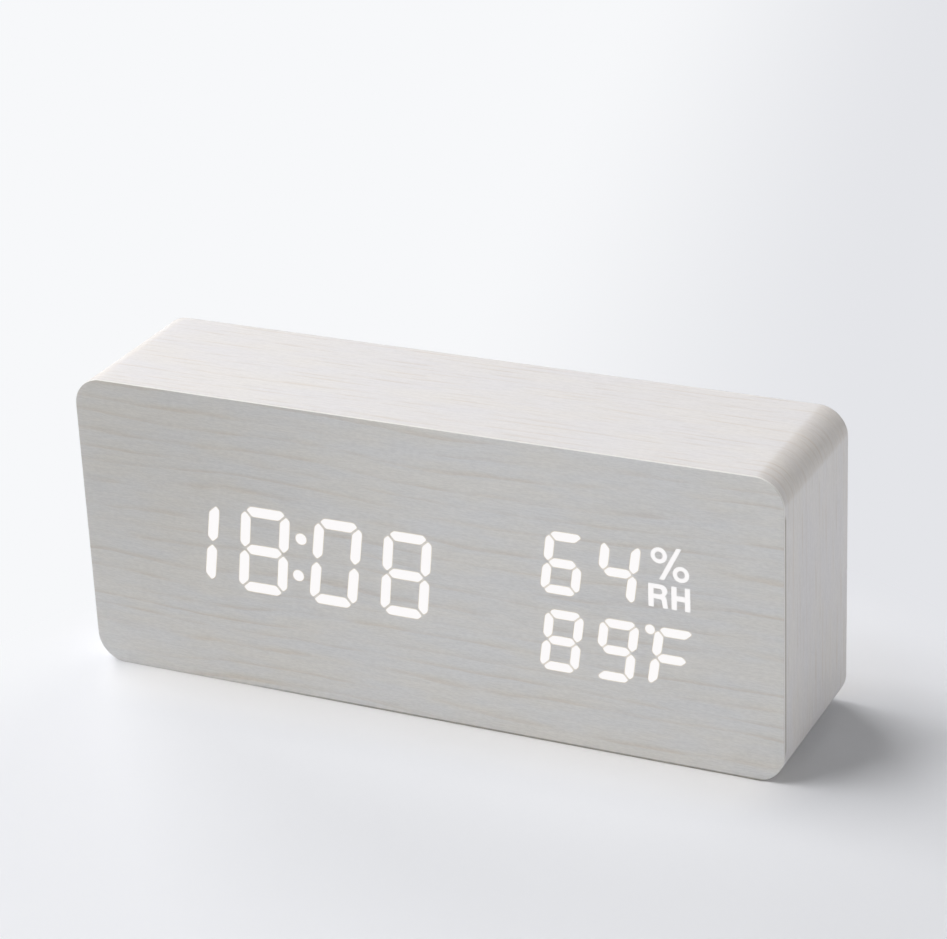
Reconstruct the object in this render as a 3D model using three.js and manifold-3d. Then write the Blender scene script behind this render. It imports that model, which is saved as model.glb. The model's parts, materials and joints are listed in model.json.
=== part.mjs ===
// A desk clock in a veneered wooden case. Its numerals shine through the thin front sheet.
// Behind the sheet sit a light guide block and a board of lamps, and behind those a second board
// with the switches. The moulded back holds the buttons, the power socket and the battery bay.
// Lengths are millimetres. +Z is up, the front face looks along -Y, and the origin lies on the
// ground under the middle of the case.
import * as THREE from "three";
import { mergeVertices } from "three/addons/utils/BufferGeometryUtils.js";
import Module from "manifold-3d";

const wasm = await Module();
wasm.setup();

// Overall size of the case, and the rounding of its front outline.
const clock = { length: 150, depth: 36, height: 63, cornerRadius: 6 };

// Clearances: between neighbours, round a screw's thread, and how far a cutter runs past a face.
const fit = { gap: 0.3, thread: 0.15, overrun: 1 };

// The wooden case: a front sheet, a band wrapped round the edge and a hollowed board core.
const veneer = { front: 0.6, wrap: 0.5 };
const core = { wall: 5.5, frontBoard: 3, block: 7, cavityRadius: 2 };

// The display window in the core, and the diffusing film that lies in it.
const opening = { sideMargin: 16.5, edgeMargin: 15, drop: 0.5, radius: 2 };
const film = { thickness: 0.3 };

// Numeral cells: outer size, stroke width, parting gap and corner chamfer.
const timeDigit = { width: 10.4, height: 18.8, stroke: 2.1, gap: 0.5, chamfer: 1.6 };
const sideDigit = { width: 8, height: 13.15, stroke: 1.8, gap: 0.35, chamfer: 1.25 };
const colon = { radius: 1.22, spread: 8.14 };
const degree = { radius: 1.03 };
const slantShare = 0.14;

// Where the cells lie, as shares of the window's length and height from its middle.
const timePlaceShares = [[-0.4287, 0], [-0.2933, 0], [-0.1569, 0], [-0.026, 0]];
const sidePlaceShares = [
  [0.2604, 0.245], [0.3571, 0.245],
  [0.2544, -0.258], [0.3514, -0.258], [0.4473, -0.258],
];
const colonPlaceShare = [-0.2253, 0];
const degreePlaceShare = [0.4113, -0.0842];

// Light chambers behind the percent sign and the two letters: left, right, bottom and top.
const chamberShares = [
  [0.4137, 0.4829, 0.2424, 0.4667],
  [0.4068, 0.4829, 0.0606, 0.2212],
];

// The light guide block, its flange, its screw bosses and its tapering wells.
const reflector = { depth: 7, flange: 1.6, clearance: 0.5, edge: 3, bossRadius: 3, radius: 3 };
const wellTaperShare = 0.8;
const bossPlaceShare = 0.42;
const biteShare = 0.7;

// The lamp board and what is soldered to it.
const ledBoard = { thickness: 1.6, inset: 0.5, radius: 1.5 };
const lamp = { length: 1, width: 0.5, height: 0.5, solder: 0.1 };
const driverChip = { length: 9, width: 4, height: 1.5, leads: 8, placeShares: [-0.05, 0] };

// Screws: a countersunk one for the back, and a pan-head one for both boards.
const panelScrew = { shankRadius: 1.25, headRadius: 2.5, headHeight: 1.4, length: 10, tip: 1 };
const boardScrew = { shankRadius: 1.1, headRadius: 2, headHeight: 1.3, tip: 0.8, bite: 5 };
const crossSlot = { length: 2.4, width: 0.6, depth: 0.8 };

// The moulded back.
const panel = { recess: 1.5, thickness: 2.2, rim: 3, radius: 2.5, chamfer: 0.4 };
const boardBoss = { radius: 2.7, inset: 3.2 };

// Cells, their contacts and springs.
const cell = { radius: 5.25, length: 44.5, rowHeight: 11, nubRadius: 1.9, nubLength: 1, crimp: 0.6 };
const cellCount = 3;
const contact = { thickness: 0.4, depth: 8.4, margin: 1, tailLength: 1.5, tailWidth: 1.6 };
const contactPad = { radius: 2.2, rise: 0.2 };
const spring = { height: 4.5, wireRadius: 0.3, baseRadius: 3.5, tipRadius: 2.3 };
const springTurns = 3;

// The battery bay, and the door that hooks into it along the bottom.
const bay = { wall: 1.5, floor: 1.5, ledge: 1.2, ledgeDepth: 2.2, clearance: 0.5 };
const door = { thickness: 1.8, radius: 1.5 };
const doorTab = { width: 8, thickness: 1.5, reach: 1.8, root: 1.2 };
const doorTongue = { width: 12, length: 8, slit: 0.8, ribWidth: 1.4, ribRise: 0.7 };
const fingerScoop = { length: 14, radius: 6, depth: 1.1 };
const tabPlaceShare = 0.3;

// Push buttons and the switches that they press.
const button = {
  radius: 3.5, rise: 1, edge: 0.4, flangeRadius: 4.7, flangeHeight: 1, postRadius: 1.5,
  postHeight: 1, distance: 14,
};
const tactSwitch = {
  side: 6, height: 3.5, plungerRadius: 1.7, plungerRise: 1.6, plungerDepth: 1.2, boreDepth: 2.4,
  legWidth: 0.7, legReach: 0.8, legHeight: 0.5,
};
const buttonNames = ["down", "up", "set"];

// The main board, and where its parts stand, as shares of its length and height from its middle.
const mainBoard = { thickness: 1.6, clearance: 2.5, edge: 3, side: 0.7, radius: 1.5 };
const buttonRowShares = [0, 0.256];
const buzzer = { radius: 6, height: 6.5, holeRadius: 1, holeDepth: 2, placeShares: [-0.24, -0.25] };
const buzzerVent = { radius: 0.7, ring: 2.6, count: 6 };
const soundSensor = { radius: 3, height: 2.7, rim: 0.5, placeShares: [0.04, -0.3] };
const soundHole = { radius: 0.7, wall: 1, drop: 1.2 };
const climateSensor = {
  length: 15.5, width: 12, height: 5.5, slot: 1, slotDepth: 1.2, slotReach: 12, slotDistance: 2.6,
  slots: 4, clearance: 0.8, acrossShare: 0.31,
};
const vent = { length: 11, width: 1.2, distance: 2.6, slots: 4 };
const capacitor = { radius: 3.15, height: 6, groove: 0.35, placeShares: [-0.05, 0] };
const usbSocket = {
  length: 8.9, width: 3.2, radius: 1.5, wall: 0.3, mouthDepth: 6.5, inset: 0.3,
  tongueLength: 6.6, tongueThickness: 0.7, tongueInset: 1, placeShares: [0.34, -0.3],
};
const controlChip = { length: 10, width: 5.4, height: 1.6, leads: 10, placeShares: [-0.1, -0.08] };
const chipLead = { reach: 0.9, width: 0.35, thickness: 0.25 };
const crystal = { radius: 1, length: 6, placeShares: [0.12, -0.08] };

// The flat cable between the boards, its connectors, and the two battery leads.
const connector = { length: 15, width: 5, height: 3.5, slotDepth: 2 };
const ribbon = { width: 12, thickness: 0.8, shift: 8 };
const ribbonPlaceShares = [-0.25, 0.22];
const lead = { radius: 0.6, bend: 2, padInset: 1.2 };

// Facets: how finely round forms are divided.
const facets = {
  corner: 8, tight: 3, disc: 20, sunkHead: 20, screw: 8, hole: 10, small: 14, coil: 8, wire: 5,
  lead: 6,
};

// Planes across the depth, from the front face to the back.
const frontFace = -clock.depth / 2;
const coreFront = frontFace + veneer.front;
const frontBoardBack = coreFront + core.frontBoard;
const filmBack = coreFront + film.thickness;
const reflectorBack = filmBack + reflector.depth;
const ledBoardBack = reflectorBack + ledBoard.thickness;
const backFace = clock.depth / 2;
const panelOuter = backFace - panel.recess;
const panelInner = panelOuter - panel.thickness;
const ledgeFace = panelOuter - door.thickness;
const cellAxis = ledgeFace - fit.gap - cell.radius;
const bayFloor = cellAxis - cell.radius - fit.gap;
const flangeRear = panelInner - fit.gap;
const hookBack = panelInner - fit.gap;
const hookFront = hookBack - doorTab.thickness;
const postEnd = flangeRear - button.flangeHeight - button.postHeight;
const switchTop = postEnd - tactSwitch.plungerRise;
const mainBoardRear = switchTop - tactSwitch.height;
const mainBoardFront = mainBoardRear - mainBoard.thickness;

// Outlines across the length and height.
const middle = clock.height / 2;
const cavityLength = clock.length - 2 * (veneer.wrap + core.wall);
const cavityHeight = clock.height - 2 * (veneer.wrap + core.wall);
const windowLength = clock.length - 2 * opening.sideMargin;
const windowHeight = clock.height - 2 * opening.edgeMargin;
const windowMiddle = middle - opening.drop;
const flangeLength = cavityLength - 2 * (core.block + reflector.clearance);
const flangeHeight = cavityHeight - 2 * reflector.edge;
const panelLength = clock.length - 2 * (veneer.wrap + panel.rim);
const panelHeight = clock.height - 2 * (veneer.wrap + panel.rim);
const bayLength = 2 * contact.thickness + cell.length + spring.height + 2 * fit.gap;
const bayHeight = cellCount * cell.rowHeight;
const doorLength = bayLength + 2 * bay.wall;
const doorHeight = bayHeight + 2 * bay.wall;
const collarLength = doorLength + 2 * (fit.gap + bay.ledge);
const collarHeight = doorHeight + 2 * (fit.gap + bay.ledge);
const bayMiddle = -cavityLength / 2 + core.block + bay.clearance + collarLength / 2;
const mainBoardLeft = bayMiddle + collarLength / 2 + mainBoard.clearance;
const mainBoardRight = cavityLength / 2 - core.block - mainBoard.side;
const mainBoardLength = mainBoardRight - mainBoardLeft;
const mainBoardHeight = cavityHeight - 2 * mainBoard.edge;
const mainBoardMiddle = (mainBoardLeft + mainBoardRight) / 2;

const quarterTurn = Math.PI / 2;
const cornerSigns = [[-1, -1], [1, -1], [1, 1], [-1, 1]];

// Finishes seen on the real pieces: colour, roughness and metalness.
function finish(color, roughness, metalness = 0) {
  return new THREE.MeshStandardMaterial({ color, roughness, metalness });
}
const finishes = {
  sheet: finish(0xc6c3c0, 0.6),
  wrap: finish(0xd2cdc9, 0.62),
  board: finish(0xb89a74, 0.9),
  film: finish(0xf2f2ee, 0.5),
  whitePlastic: finish(0xeeeeea, 0.45),
  backPlastic: finish(0xd9d6d1, 0.55),
  doorPlastic: finish(0xd4d1cc, 0.55),
  greyPlastic: finish(0x8f8c88, 0.5),
  blackPlastic: finish(0x1d1d1f, 0.5),
  bluePlastic: finish(0x5b86b8, 0.5),
  circuit: finish(0x1f5a3a, 0.5),
  steel: finish(0xb5b6b8, 0.35, 1),
  nickel: finish(0xc9c6bd, 0.3, 1),
  cellSleeve: finish(0x3c5a74, 0.35),
  ribbonGrey: finish(0x9c9c9e, 0.6),
  redLead: finish(0xa8322b, 0.5),
  blackLead: finish(0x232325, 0.5),
};

// Geometry to solid, and solid to geometry.
function solid(geometry) {
  const bare = geometry.clone();
  bare.deleteAttribute("normal");
  bare.deleteAttribute("uv");
  const merged = mergeVertices(bare);
  return new wasm.Manifold(new wasm.Mesh({
    numProp: 3,
    vertProperties: merged.attributes.position.array,
    triVerts: new Uint32Array(merged.index.array),
  }));
}

function geometryOf(body) {
  const mesh = body.getMesh();
  const geometry = new THREE.BufferGeometry();
  geometry.setAttribute("position", new THREE.BufferAttribute(mesh.vertProperties, 3));
  geometry.setIndex(new THREE.BufferAttribute(mesh.triVerts, 1));
  const flat = geometry.toNonIndexed();
  flat.computeVertexNormals();
  return flat;
}

const join = (geometries) => geometries.map(solid).reduce((whole, body) => whole.add(body));
const cut = (body, geometries) => geometries.map(solid).reduce((rest, tool) => rest.subtract(tool), body);

// A rounded rectangle's outline, anticlockwise seen from the front, as [x, z] points.
function roundedRing(length, height, radius, centre = [0, middle], steps = facets.tight) {
  const ring = [];
  cornerSigns.forEach(([signX, signZ], corner) => {
    const x = centre[0] + signX * (length / 2 - radius);
    const z = centre[1] + signZ * (height / 2 - radius);
    for (let step = 0; step <= steps; step += 1) {
      const angle = (corner - 2 + step / steps) * quarterTurn;
      ring.push([x + radius * Math.cos(angle), z + radius * Math.sin(angle)]);
    }
  });
  return ring;
}

function roundRing(radius, sides, centre) {
  return Array.from({ length: sides }, (_, side) => {
    const angle = ((side + 0.5) / sides) * 4 * quarterTurn;
    return [centre[0] + radius * Math.cos(angle), centre[1] + radius * Math.sin(angle)];
  });
}

// The closed solid between an outline at one depth and a like outline at another.
function loft(frontRing, front, backRing, back) {
  const count = frontRing.length;
  const positions = [
    ...frontRing.flatMap(([x, z]) => [x, front, z]),
    ...backRing.flatMap(([x, z]) => [x, back, z]),
  ];
  const index = [];
  for (let here = 0; here < count; here += 1) {
    const next = (here + 1) % count;
    index.push(next, here, count + here, next, count + here, count + next);
  }
  const cap = THREE.ShapeUtils.triangulateShape(frontRing.map(([x, z]) => new THREE.Vector2(x, z)), []);
  for (const [a, b, c] of cap) {
    index.push(a, b, c, count + a, count + c, count + b);
  }
  const geometry = new THREE.BufferGeometry();
  geometry.setAttribute("position", new THREE.Float32BufferAttribute(positions, 3));
  geometry.setIndex(index);
  const flat = geometry.toNonIndexed();
  flat.computeVertexNormals();
  return flat;
}

const plate = (ring, front, back) => loft(ring, front, ring, back);
const rod = (radius, front, back, centre, sides) => plate(roundRing(radius, sides, centre), front, back);

// A block between two corners.
function block([left, right], [front, back], [bottom, top]) {
  const geometry = new THREE.BoxGeometry(right - left, back - front, top - bottom);
  return geometry.translate((left + right) / 2, (front + back) / 2, (bottom + top) / 2);
}

const centredBlock = (centre, length, height, front, back) => block(
  [centre[0] - length / 2, centre[0] + length / 2],
  [front, back],
  [centre[1] - height / 2, centre[1] + height / 2],
);

// A body turned about the depth axis from [radius, depth] points that start and end on it.
const turned = (profile, sides) => new THREE.LatheGeometry(
  profile.map(([radius, depth]) => new THREE.Vector2(radius, depth)), sides,
);

// A round bar that follows a curve.
function wireAlong(curve, radius, sides, steps) {
  const section = new THREE.Shape(roundRing(radius, sides, [0, 0]).map(([x, y]) => new THREE.Vector2(x, y)));
  return new THREE.ExtrudeGeometry(section, { extrudePath: curve, steps });
}

const root = new THREE.Group();

function piece(name, geometry, material, parent = root) {
  const mesh = new THREE.Mesh(geometry, material);
  mesh.name = name;
  parent.add(mesh);
  return mesh;
}

// Where a share of the window lies in the front view, and where a share of the main board does.
const inWindow = ([alongShare, upShare]) => [
  alongShare * windowLength,
  windowMiddle + upShare * windowHeight,
];
const onMainBoard = ([alongShare, upShare]) => [
  mainBoardMiddle + alongShare * mainBoardLength,
  middle + upShare * mainBoardHeight,
];

// The buttons stand in a row, and the climate sensor lies right under their switches.
const [buttonMiddle, buttonRow] = onMainBoard(buttonRowShares);
const buttonPlaces = [-1, 0, 1].map((number) => [buttonMiddle + number * button.distance, buttonRow]);
const switchFoot = buttonRow - tactSwitch.side / 2 - tactSwitch.legReach;
const climatePlace = [
  mainBoardMiddle + climateSensor.acrossShare * mainBoardLength,
  switchFoot - climateSensor.clearance - climateSensor.width / 2,
];

// One numeral's seven strokes about its own middle, with 45 degree partings between them.
function strokeOutlines({ width, height, stroke, gap, chamfer }) {
  const part = gap / Math.SQRT2;
  const side = width / 2;
  const top = height / 2;
  const upper = [
    [-side + chamfer + part, top],
    [-side + chamfer / 2 + part, top - chamfer / 2],
    [-side + stroke + part, top - stroke],
    [side - stroke - part, top - stroke],
    [side - chamfer / 2 - part, top - chamfer / 2],
    [side - chamfer - part, top],
  ];
  const centre = [
    [-side + stroke / 2 + part, 0],
    [-side + stroke + part, -stroke / 2],
    [side - stroke - part, -stroke / 2],
    [side - stroke / 2 - part, 0],
    [side - stroke - part, stroke / 2],
    [-side + stroke + part, stroke / 2],
  ];
  const upperLeft = [
    [-side, top - chamfer - part],
    [-side, stroke / 2 + part],
    [-side + stroke / 2, part],
    [-side + stroke, stroke / 2 + part],
    [-side + stroke, top - stroke - part],
    [-side + chamfer / 2, top - chamfer / 2 - part],
  ];
  const flipZ = (ring) => ring.map(([x, z]) => [x, -z]).reverse();
  const flipX = (ring) => ring.map(([x, z]) => [-x, z]).reverse();
  const lying = [upper, centre, flipZ(upper)];
  const standing = [upperLeft, flipX(upperLeft), flipZ(upperLeft), flipX(flipZ(upperLeft))];
  return [
    ...lying.map((ring) => ({ ring, standing: false })),
    ...standing.map((ring) => ({ ring, standing: true })),
  ];
}

function middleOf(ring) {
  const sum = ring.reduce(([sumX, sumZ], [x, z]) => [sumX + x, sumZ + z]);
  return [sum[0] / ring.length, sum[1] / ring.length];
}

// Every lit field of the display: its outline on the film, and whether its lamp stands upright.
function lightFields() {
  const numeral = (digit, placeShare) => {
    const [x, z] = inWindow(placeShare);
    return strokeOutlines(digit).map(({ ring, standing }) => ({
      ring: ring.map(([across, up]) => [x + across + slantShare * up, z + up]),
      standing,
    }));
  };
  const [colonX, colonZ] = inWindow(colonPlaceShare);
  const dots = [1, -1].map((sign) => {
    const up = (sign * colon.spread) / 2;
    const place = [colonX + slantShare * up, colonZ + up];
    return { ring: roundRing(colon.radius, facets.hole, place), standing: false };
  });
  const degreeDot = {
    ring: roundRing(degree.radius, facets.hole, inWindow(degreePlaceShare)),
    standing: false,
  };
  const chambers = chamberShares.map(([left, right, bottom, top]) => ({
    ring: [[left, bottom], [right, bottom], [right, top], [left, top]].map(inWindow),
    standing: false,
  }));
  return [
    ...timePlaceShares.flatMap((share) => numeral(timeDigit, share)),
    ...sidePlaceShares.flatMap((share) => numeral(sideDigit, share)),
    ...dots,
    degreeDot,
    ...chambers,
  ];
}
const fields = lightFields();

// Screw places: the lamp board's in the flange, the back's in the corner blocks, and the main
// board's in the bosses of the back.
const ledScrewPlaces = cornerSigns.map(([signX, signZ]) => [
  signX * bossPlaceShare * flangeLength,
  middle + signZ * (flangeHeight / 2 - reflector.bossRadius),
]);
const panelScrewPlaces = cornerSigns.map(([signX, signZ]) => [
  (signX * (cavityLength - core.block)) / 2,
  middle + (signZ * (cavityHeight - core.block)) / 2,
]);
const boardBossPlaces = cornerSigns.map(([signX, signZ]) => [
  mainBoardMiddle + signX * (mainBoardLength / 2 - boardBoss.inset),
  middle + signZ * (mainBoardHeight / 2 - boardBoss.inset),
]);

// The case: a thin front sheet, the band round the edge and the hollowed core.
function caseOutline(inset) {
  return roundedRing(
    clock.length - 2 * inset,
    clock.height - 2 * inset,
    clock.cornerRadius - inset,
    [0, middle],
    facets.corner,
  );
}

function makeFrontVeneer() {
  piece("front_veneer", plate(caseOutline(0), frontFace, coreFront), finishes.sheet);
}

function makeWrapVeneer() {
  const toPoints = (ring) => ring.map(([x, z]) => new THREE.Vector2(x, z));
  const band = new THREE.Shape(toPoints(caseOutline(0)));
  band.holes.push(new THREE.Path(toPoints(caseOutline(veneer.wrap))));
  const geometry = new THREE.ExtrudeGeometry(band, { depth: backFace - coreFront, bevelEnabled: false });
  geometry.rotateX(quarterTurn).translate(0, backFace, 0);
  piece("wrap_veneer", geometry, finishes.wrap);
}

function makeCore() {
  const cavityRing = roundedRing(cavityLength, cavityHeight, core.cavityRadius);
  const past = backFace + fit.overrun;
  const blocks = panelScrewPlaces.map((place, corner) => {
    const [signX, signZ] = cornerSigns[corner];
    const outwards = [place[0] + (signX * fit.overrun) / 2, place[1] + (signZ * fit.overrun) / 2];
    const size = core.block + fit.overrun;
    return centredBlock(outwards, size, size, frontBoardBack - fit.overrun, past + fit.overrun);
  });
  const cavity = cut(solid(plate(cavityRing, frontBoardBack, past)), blocks);
  const windowRing = roundedRing(windowLength, windowHeight, opening.radius, [0, windowMiddle]);
  const rebateRing = roundedRing(
    panelLength + 2 * fit.gap,
    panelHeight + 2 * fit.gap,
    panel.radius + fit.gap,
  );
  const bite = biteShare * core.frontBoard;
  const ledPilots = ledScrewPlaces.map((place) => rod(
    boardScrew.shankRadius + fit.thread, frontBoardBack - bite - fit.thread,
    frontBoardBack + fit.overrun, place, facets.screw,
  ));
  const panelPilots = panelScrewPlaces.map((place) => rod(
    panelScrew.shankRadius + fit.thread, panelOuter - panelScrew.length - fit.gap,
    past, place, facets.sunkHead,
  ));
  const body = solid(plate(caseOutline(veneer.wrap), coreFront, backFace)).subtract(cavity);
  const hollowed = cut(body, [
    plate(windowRing, coreFront - fit.overrun, frontBoardBack + fit.overrun),
    plate(rebateRing, panelInner, past),
    ...ledPilots,
    ...panelPilots,
  ]);
  piece("case_core", geometryOf(hollowed), finishes.board);
}

// The display: film, light guide block with a well for each field, and the lamp board.
function makeDisplay() {
  const blockRing = roundedRing(
    windowLength - 2 * fit.gap, windowHeight - 2 * fit.gap, opening.radius, [0, windowMiddle],
  );
  piece("diffuser_film", plate(blockRing, coreFront, filmBack), finishes.film);

  const flangeRing = roundedRing(flangeLength, flangeHeight, reflector.radius);
  const flangeBack = frontBoardBack + reflector.flange;
  const guide = join([
    plate(blockRing, filmBack, reflectorBack),
    plate(flangeRing, frontBoardBack, flangeBack),
    ...ledScrewPlaces.map((place) => rod(
      reflector.bossRadius, frontBoardBack, reflectorBack, place, facets.small,
    )),
  ]);
  const wells = fields.map(({ ring }) => {
    const [x, z] = middleOf(ring);
    const narrow = ring.map(([a, b]) => [x + wellTaperShare * (a - x), z + wellTaperShare * (b - z)]);
    return loft(ring, filmBack - fit.overrun, narrow, reflectorBack + fit.overrun);
  });
  const screwHoles = ledScrewPlaces.map((place) => rod(
    boardScrew.shankRadius + fit.gap, frontBoardBack - fit.overrun,
    reflectorBack + fit.overrun, place, facets.screw,
  ));
  piece("display_reflector", geometryOf(cut(guide, [...wells, ...screwHoles])), finishes.whitePlastic);

  const boardRing = roundedRing(
    flangeLength - 2 * ledBoard.inset, flangeHeight - 2 * ledBoard.inset, ledBoard.radius,
  );
  const lamps = fields.map(({ ring, standing }) => {
    const across = standing ? lamp.width : lamp.length;
    const up = standing ? lamp.length : lamp.width;
    const front = reflectorBack - lamp.height;
    return centredBlock(middleOf(ring), across, up, front, reflectorBack + lamp.solder);
  });
  const board = cut(join([plate(boardRing, reflectorBack, ledBoardBack), ...lamps]), ledScrewPlaces.map(
    (place) => rod(
      boardScrew.shankRadius + fit.gap, reflectorBack - fit.overrun,
      ledBoardBack + fit.overrun, place, facets.screw,
    ),
  ));
  piece("led_board", geometryOf(board), finishes.circuit);
}

// A chip with a row of leads along each long side; up is the way that it stands off its board.
function chipGeometry(chip, up) {
  const parts = [block(
    [-chip.length / 2, chip.length / 2],
    up > 0 ? [0, chip.height] : [-chip.height, 0],
    [-chip.width / 2, chip.width / 2],
  )];
  const pitch = chip.length / chip.leads;
  for (let number = 0; number < chip.leads; number += 1) {
    const x = (number + 0.5) * pitch - chip.length / 2;
    parts.push(block(
      [x - chipLead.width / 2, x + chipLead.width / 2],
      up > 0 ? [0, chipLead.thickness] : [-chipLead.thickness, 0],
      [-chip.width / 2 - chipLead.reach, chip.width / 2 + chipLead.reach],
    ));
  }
  return geometryOf(join(parts));
}

function placed(mesh, [x, z], y) {
  mesh.position.set(x, y, z);
  return mesh;
}

// A pan-head screw whose head stands on the plane y = 0 and whose shank runs towards -Y.
function boardScrewGeometry(length) {
  const body = turned([
    [0, -length],
    [boardScrew.shankRadius, boardScrew.tip - length],
    [boardScrew.shankRadius, 0],
    [boardScrew.headRadius, 0],
    [boardScrew.headRadius, boardScrew.headHeight / 2],
    [boardScrew.headRadius - boardScrew.headHeight / 2, boardScrew.headHeight],
    [0, boardScrew.headHeight],
  ], facets.screw);
  return crossed(body, boardScrew.headHeight);
}

// A countersunk screw whose head is flush with the plane y = 0.
function panelScrewGeometry() {
  const body = turned([
    [0, -panelScrew.length],
    [panelScrew.shankRadius, panelScrew.tip - panelScrew.length],
    [panelScrew.shankRadius, -panelScrew.headHeight],
    [panelScrew.headRadius, 0],
    [0, 0],
  ], facets.sunkHead);
  return crossed(body, 0);
}

// The same head with its cross slot sunk in.
function crossed(geometry, headTop) {
  const sunk = [headTop - crossSlot.depth, headTop + fit.overrun];
  const long = [-crossSlot.length / 2, crossSlot.length / 2];
  const short = [-crossSlot.width / 2, crossSlot.width / 2];
  return geometryOf(cut(solid(geometry), [block(long, sunk, short), block(short, sunk, long)]));
}

function makeScrews() {
  const bite = biteShare * core.frontBoard;
  const ledScrew = boardScrewGeometry(ledBoardBack - frontBoardBack + bite);
  const mainScrew = boardScrewGeometry(mainBoard.thickness + boardScrew.bite);
  const backScrew = panelScrewGeometry();
  cornerSigns.forEach((_, corner) => {
    const number = corner + 1;
    const ledMesh = piece(`led_board_screw_${number}`, ledScrew, finishes.steel);
    placed(ledMesh, ledScrewPlaces[corner], ledBoardBack);
    const panelMesh = piece(`panel_screw_${number}`, backScrew, finishes.steel);
    placed(panelMesh, panelScrewPlaces[corner], panelOuter);
    const mainMesh = piece(`main_board_screw_${number}`, mainScrew, finishes.steel);
    mainMesh.rotation.z = 2 * quarterTurn;
    placed(mainMesh, boardBossPlaces[corner], mainBoardFront);
  });
}

// The main board and what stands on its two faces.
function makeMainBoard() {
  const ring = roundedRing(mainBoardLength, mainBoardHeight, mainBoard.radius, [mainBoardMiddle, middle]);
  const holes = boardBossPlaces.map((place) => rod(
    boardScrew.shankRadius + fit.gap, mainBoardFront - fit.overrun,
    mainBoardRear + fit.overrun, place, facets.screw,
  ));
  const board = cut(solid(plate(ring, mainBoardFront, mainBoardRear)), holes);
  piece("main_board", geometryOf(board), finishes.circuit);

  placed(
    piece("controller_chip", chipGeometry(controlChip, -1), finishes.blackPlastic),
    onMainBoard(controlChip.placeShares), mainBoardFront,
  );
  const canGeometry = new THREE.CylinderGeometry(
    crystal.radius, crystal.radius, crystal.length, facets.hole,
  ).rotateX(quarterTurn);
  placed(
    piece("clock_crystal", canGeometry, finishes.nickel),
    onMainBoard(crystal.placeShares), mainBoardFront - crystal.radius - fit.thread,
  );
  placed(
    piece("display_driver", chipGeometry(driverChip, 1), finishes.blackPlastic),
    inWindow(driverChip.placeShares), ledBoardBack,
  );
}

function makeStandingParts() {
  const can = turned([
    [0, 0],
    [capacitor.radius, 0],
    [capacitor.radius, capacitor.groove * 2],
    [capacitor.radius - capacitor.groove, capacitor.groove * 3],
    [capacitor.radius, capacitor.groove * 4],
    [capacitor.radius, capacitor.height - capacitor.groove],
    [capacitor.radius - capacitor.groove, capacitor.height],
    [0, capacitor.height],
  ], facets.small);
  placed(
    piece("filter_capacitor", can, finishes.steel),
    onMainBoard(capacitor.placeShares), mainBoardRear,
  );

  const sounder = turned([
    [0, 0],
    [buzzer.radius, 0],
    [buzzer.radius, buzzer.height],
    [buzzer.holeRadius, buzzer.height],
    [buzzer.holeRadius, buzzer.height - buzzer.holeDepth],
    [0, buzzer.height - buzzer.holeDepth],
  ], facets.disc);
  placed(piece("buzzer", sounder, finishes.blackPlastic), onMainBoard(buzzer.placeShares), mainBoardRear);

  const capsule = turned([
    [0, 0],
    [soundSensor.radius, 0],
    [soundSensor.radius, soundSensor.height],
    [soundSensor.radius - soundSensor.rim, soundSensor.height],
    [soundSensor.radius - soundSensor.rim, soundSensor.height - soundSensor.rim],
    [0, soundSensor.height - soundSensor.rim],
  ], facets.small);
  placed(
    piece("sound_sensor", capsule, finishes.nickel),
    onMainBoard(soundSensor.placeShares), mainBoardRear,
  );

  const sensorSlots = slotRows(climateSensor.slots, climateSensor.slotDistance).map((up) => centredBlock(
    [0, up], climateSensor.slotReach, climateSensor.slot,
    climateSensor.height - climateSensor.slotDepth, climateSensor.height + fit.overrun,
  ));
  const housing = centredBlock([0, 0], climateSensor.length, climateSensor.width, 0, climateSensor.height);
  placed(
    piece("climate_sensor", geometryOf(cut(solid(housing), sensorSlots)), finishes.bluePlastic),
    climatePlace, mainBoardRear,
  );
}

// Heights of rows at an even distance, about the middle of them all.
function slotRows(count, distance) {
  return Array.from({ length: count }, (_, row) => (row - (count - 1) / 2) * distance);
}

// The power socket: a folded metal shell with its tongue inside, standing up to the back panel.
function makeUsbSocket() {
  const place = onMainBoard(usbSocket.placeShares);
  const mouth = panelOuter - usbSocket.inset;
  const shellRing = roundedRing(usbSocket.length, usbSocket.width, usbSocket.radius, place);
  const insideRing = roundedRing(
    usbSocket.length - 2 * usbSocket.wall,
    usbSocket.width - 2 * usbSocket.wall,
    usbSocket.radius - usbSocket.wall,
    place,
  );
  const shell = cut(solid(plate(shellRing, mainBoardRear, mouth)), [
    plate(insideRing, mouth - usbSocket.mouthDepth, mouth + fit.overrun),
  ]);
  const tongue = solid(centredBlock(
    place, usbSocket.tongueLength, usbSocket.tongueThickness,
    mouth - usbSocket.mouthDepth - usbSocket.wall, mouth - usbSocket.tongueInset,
  ));
  piece("usb_socket", geometryOf(shell.add(tongue)), finishes.nickel);
}

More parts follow.
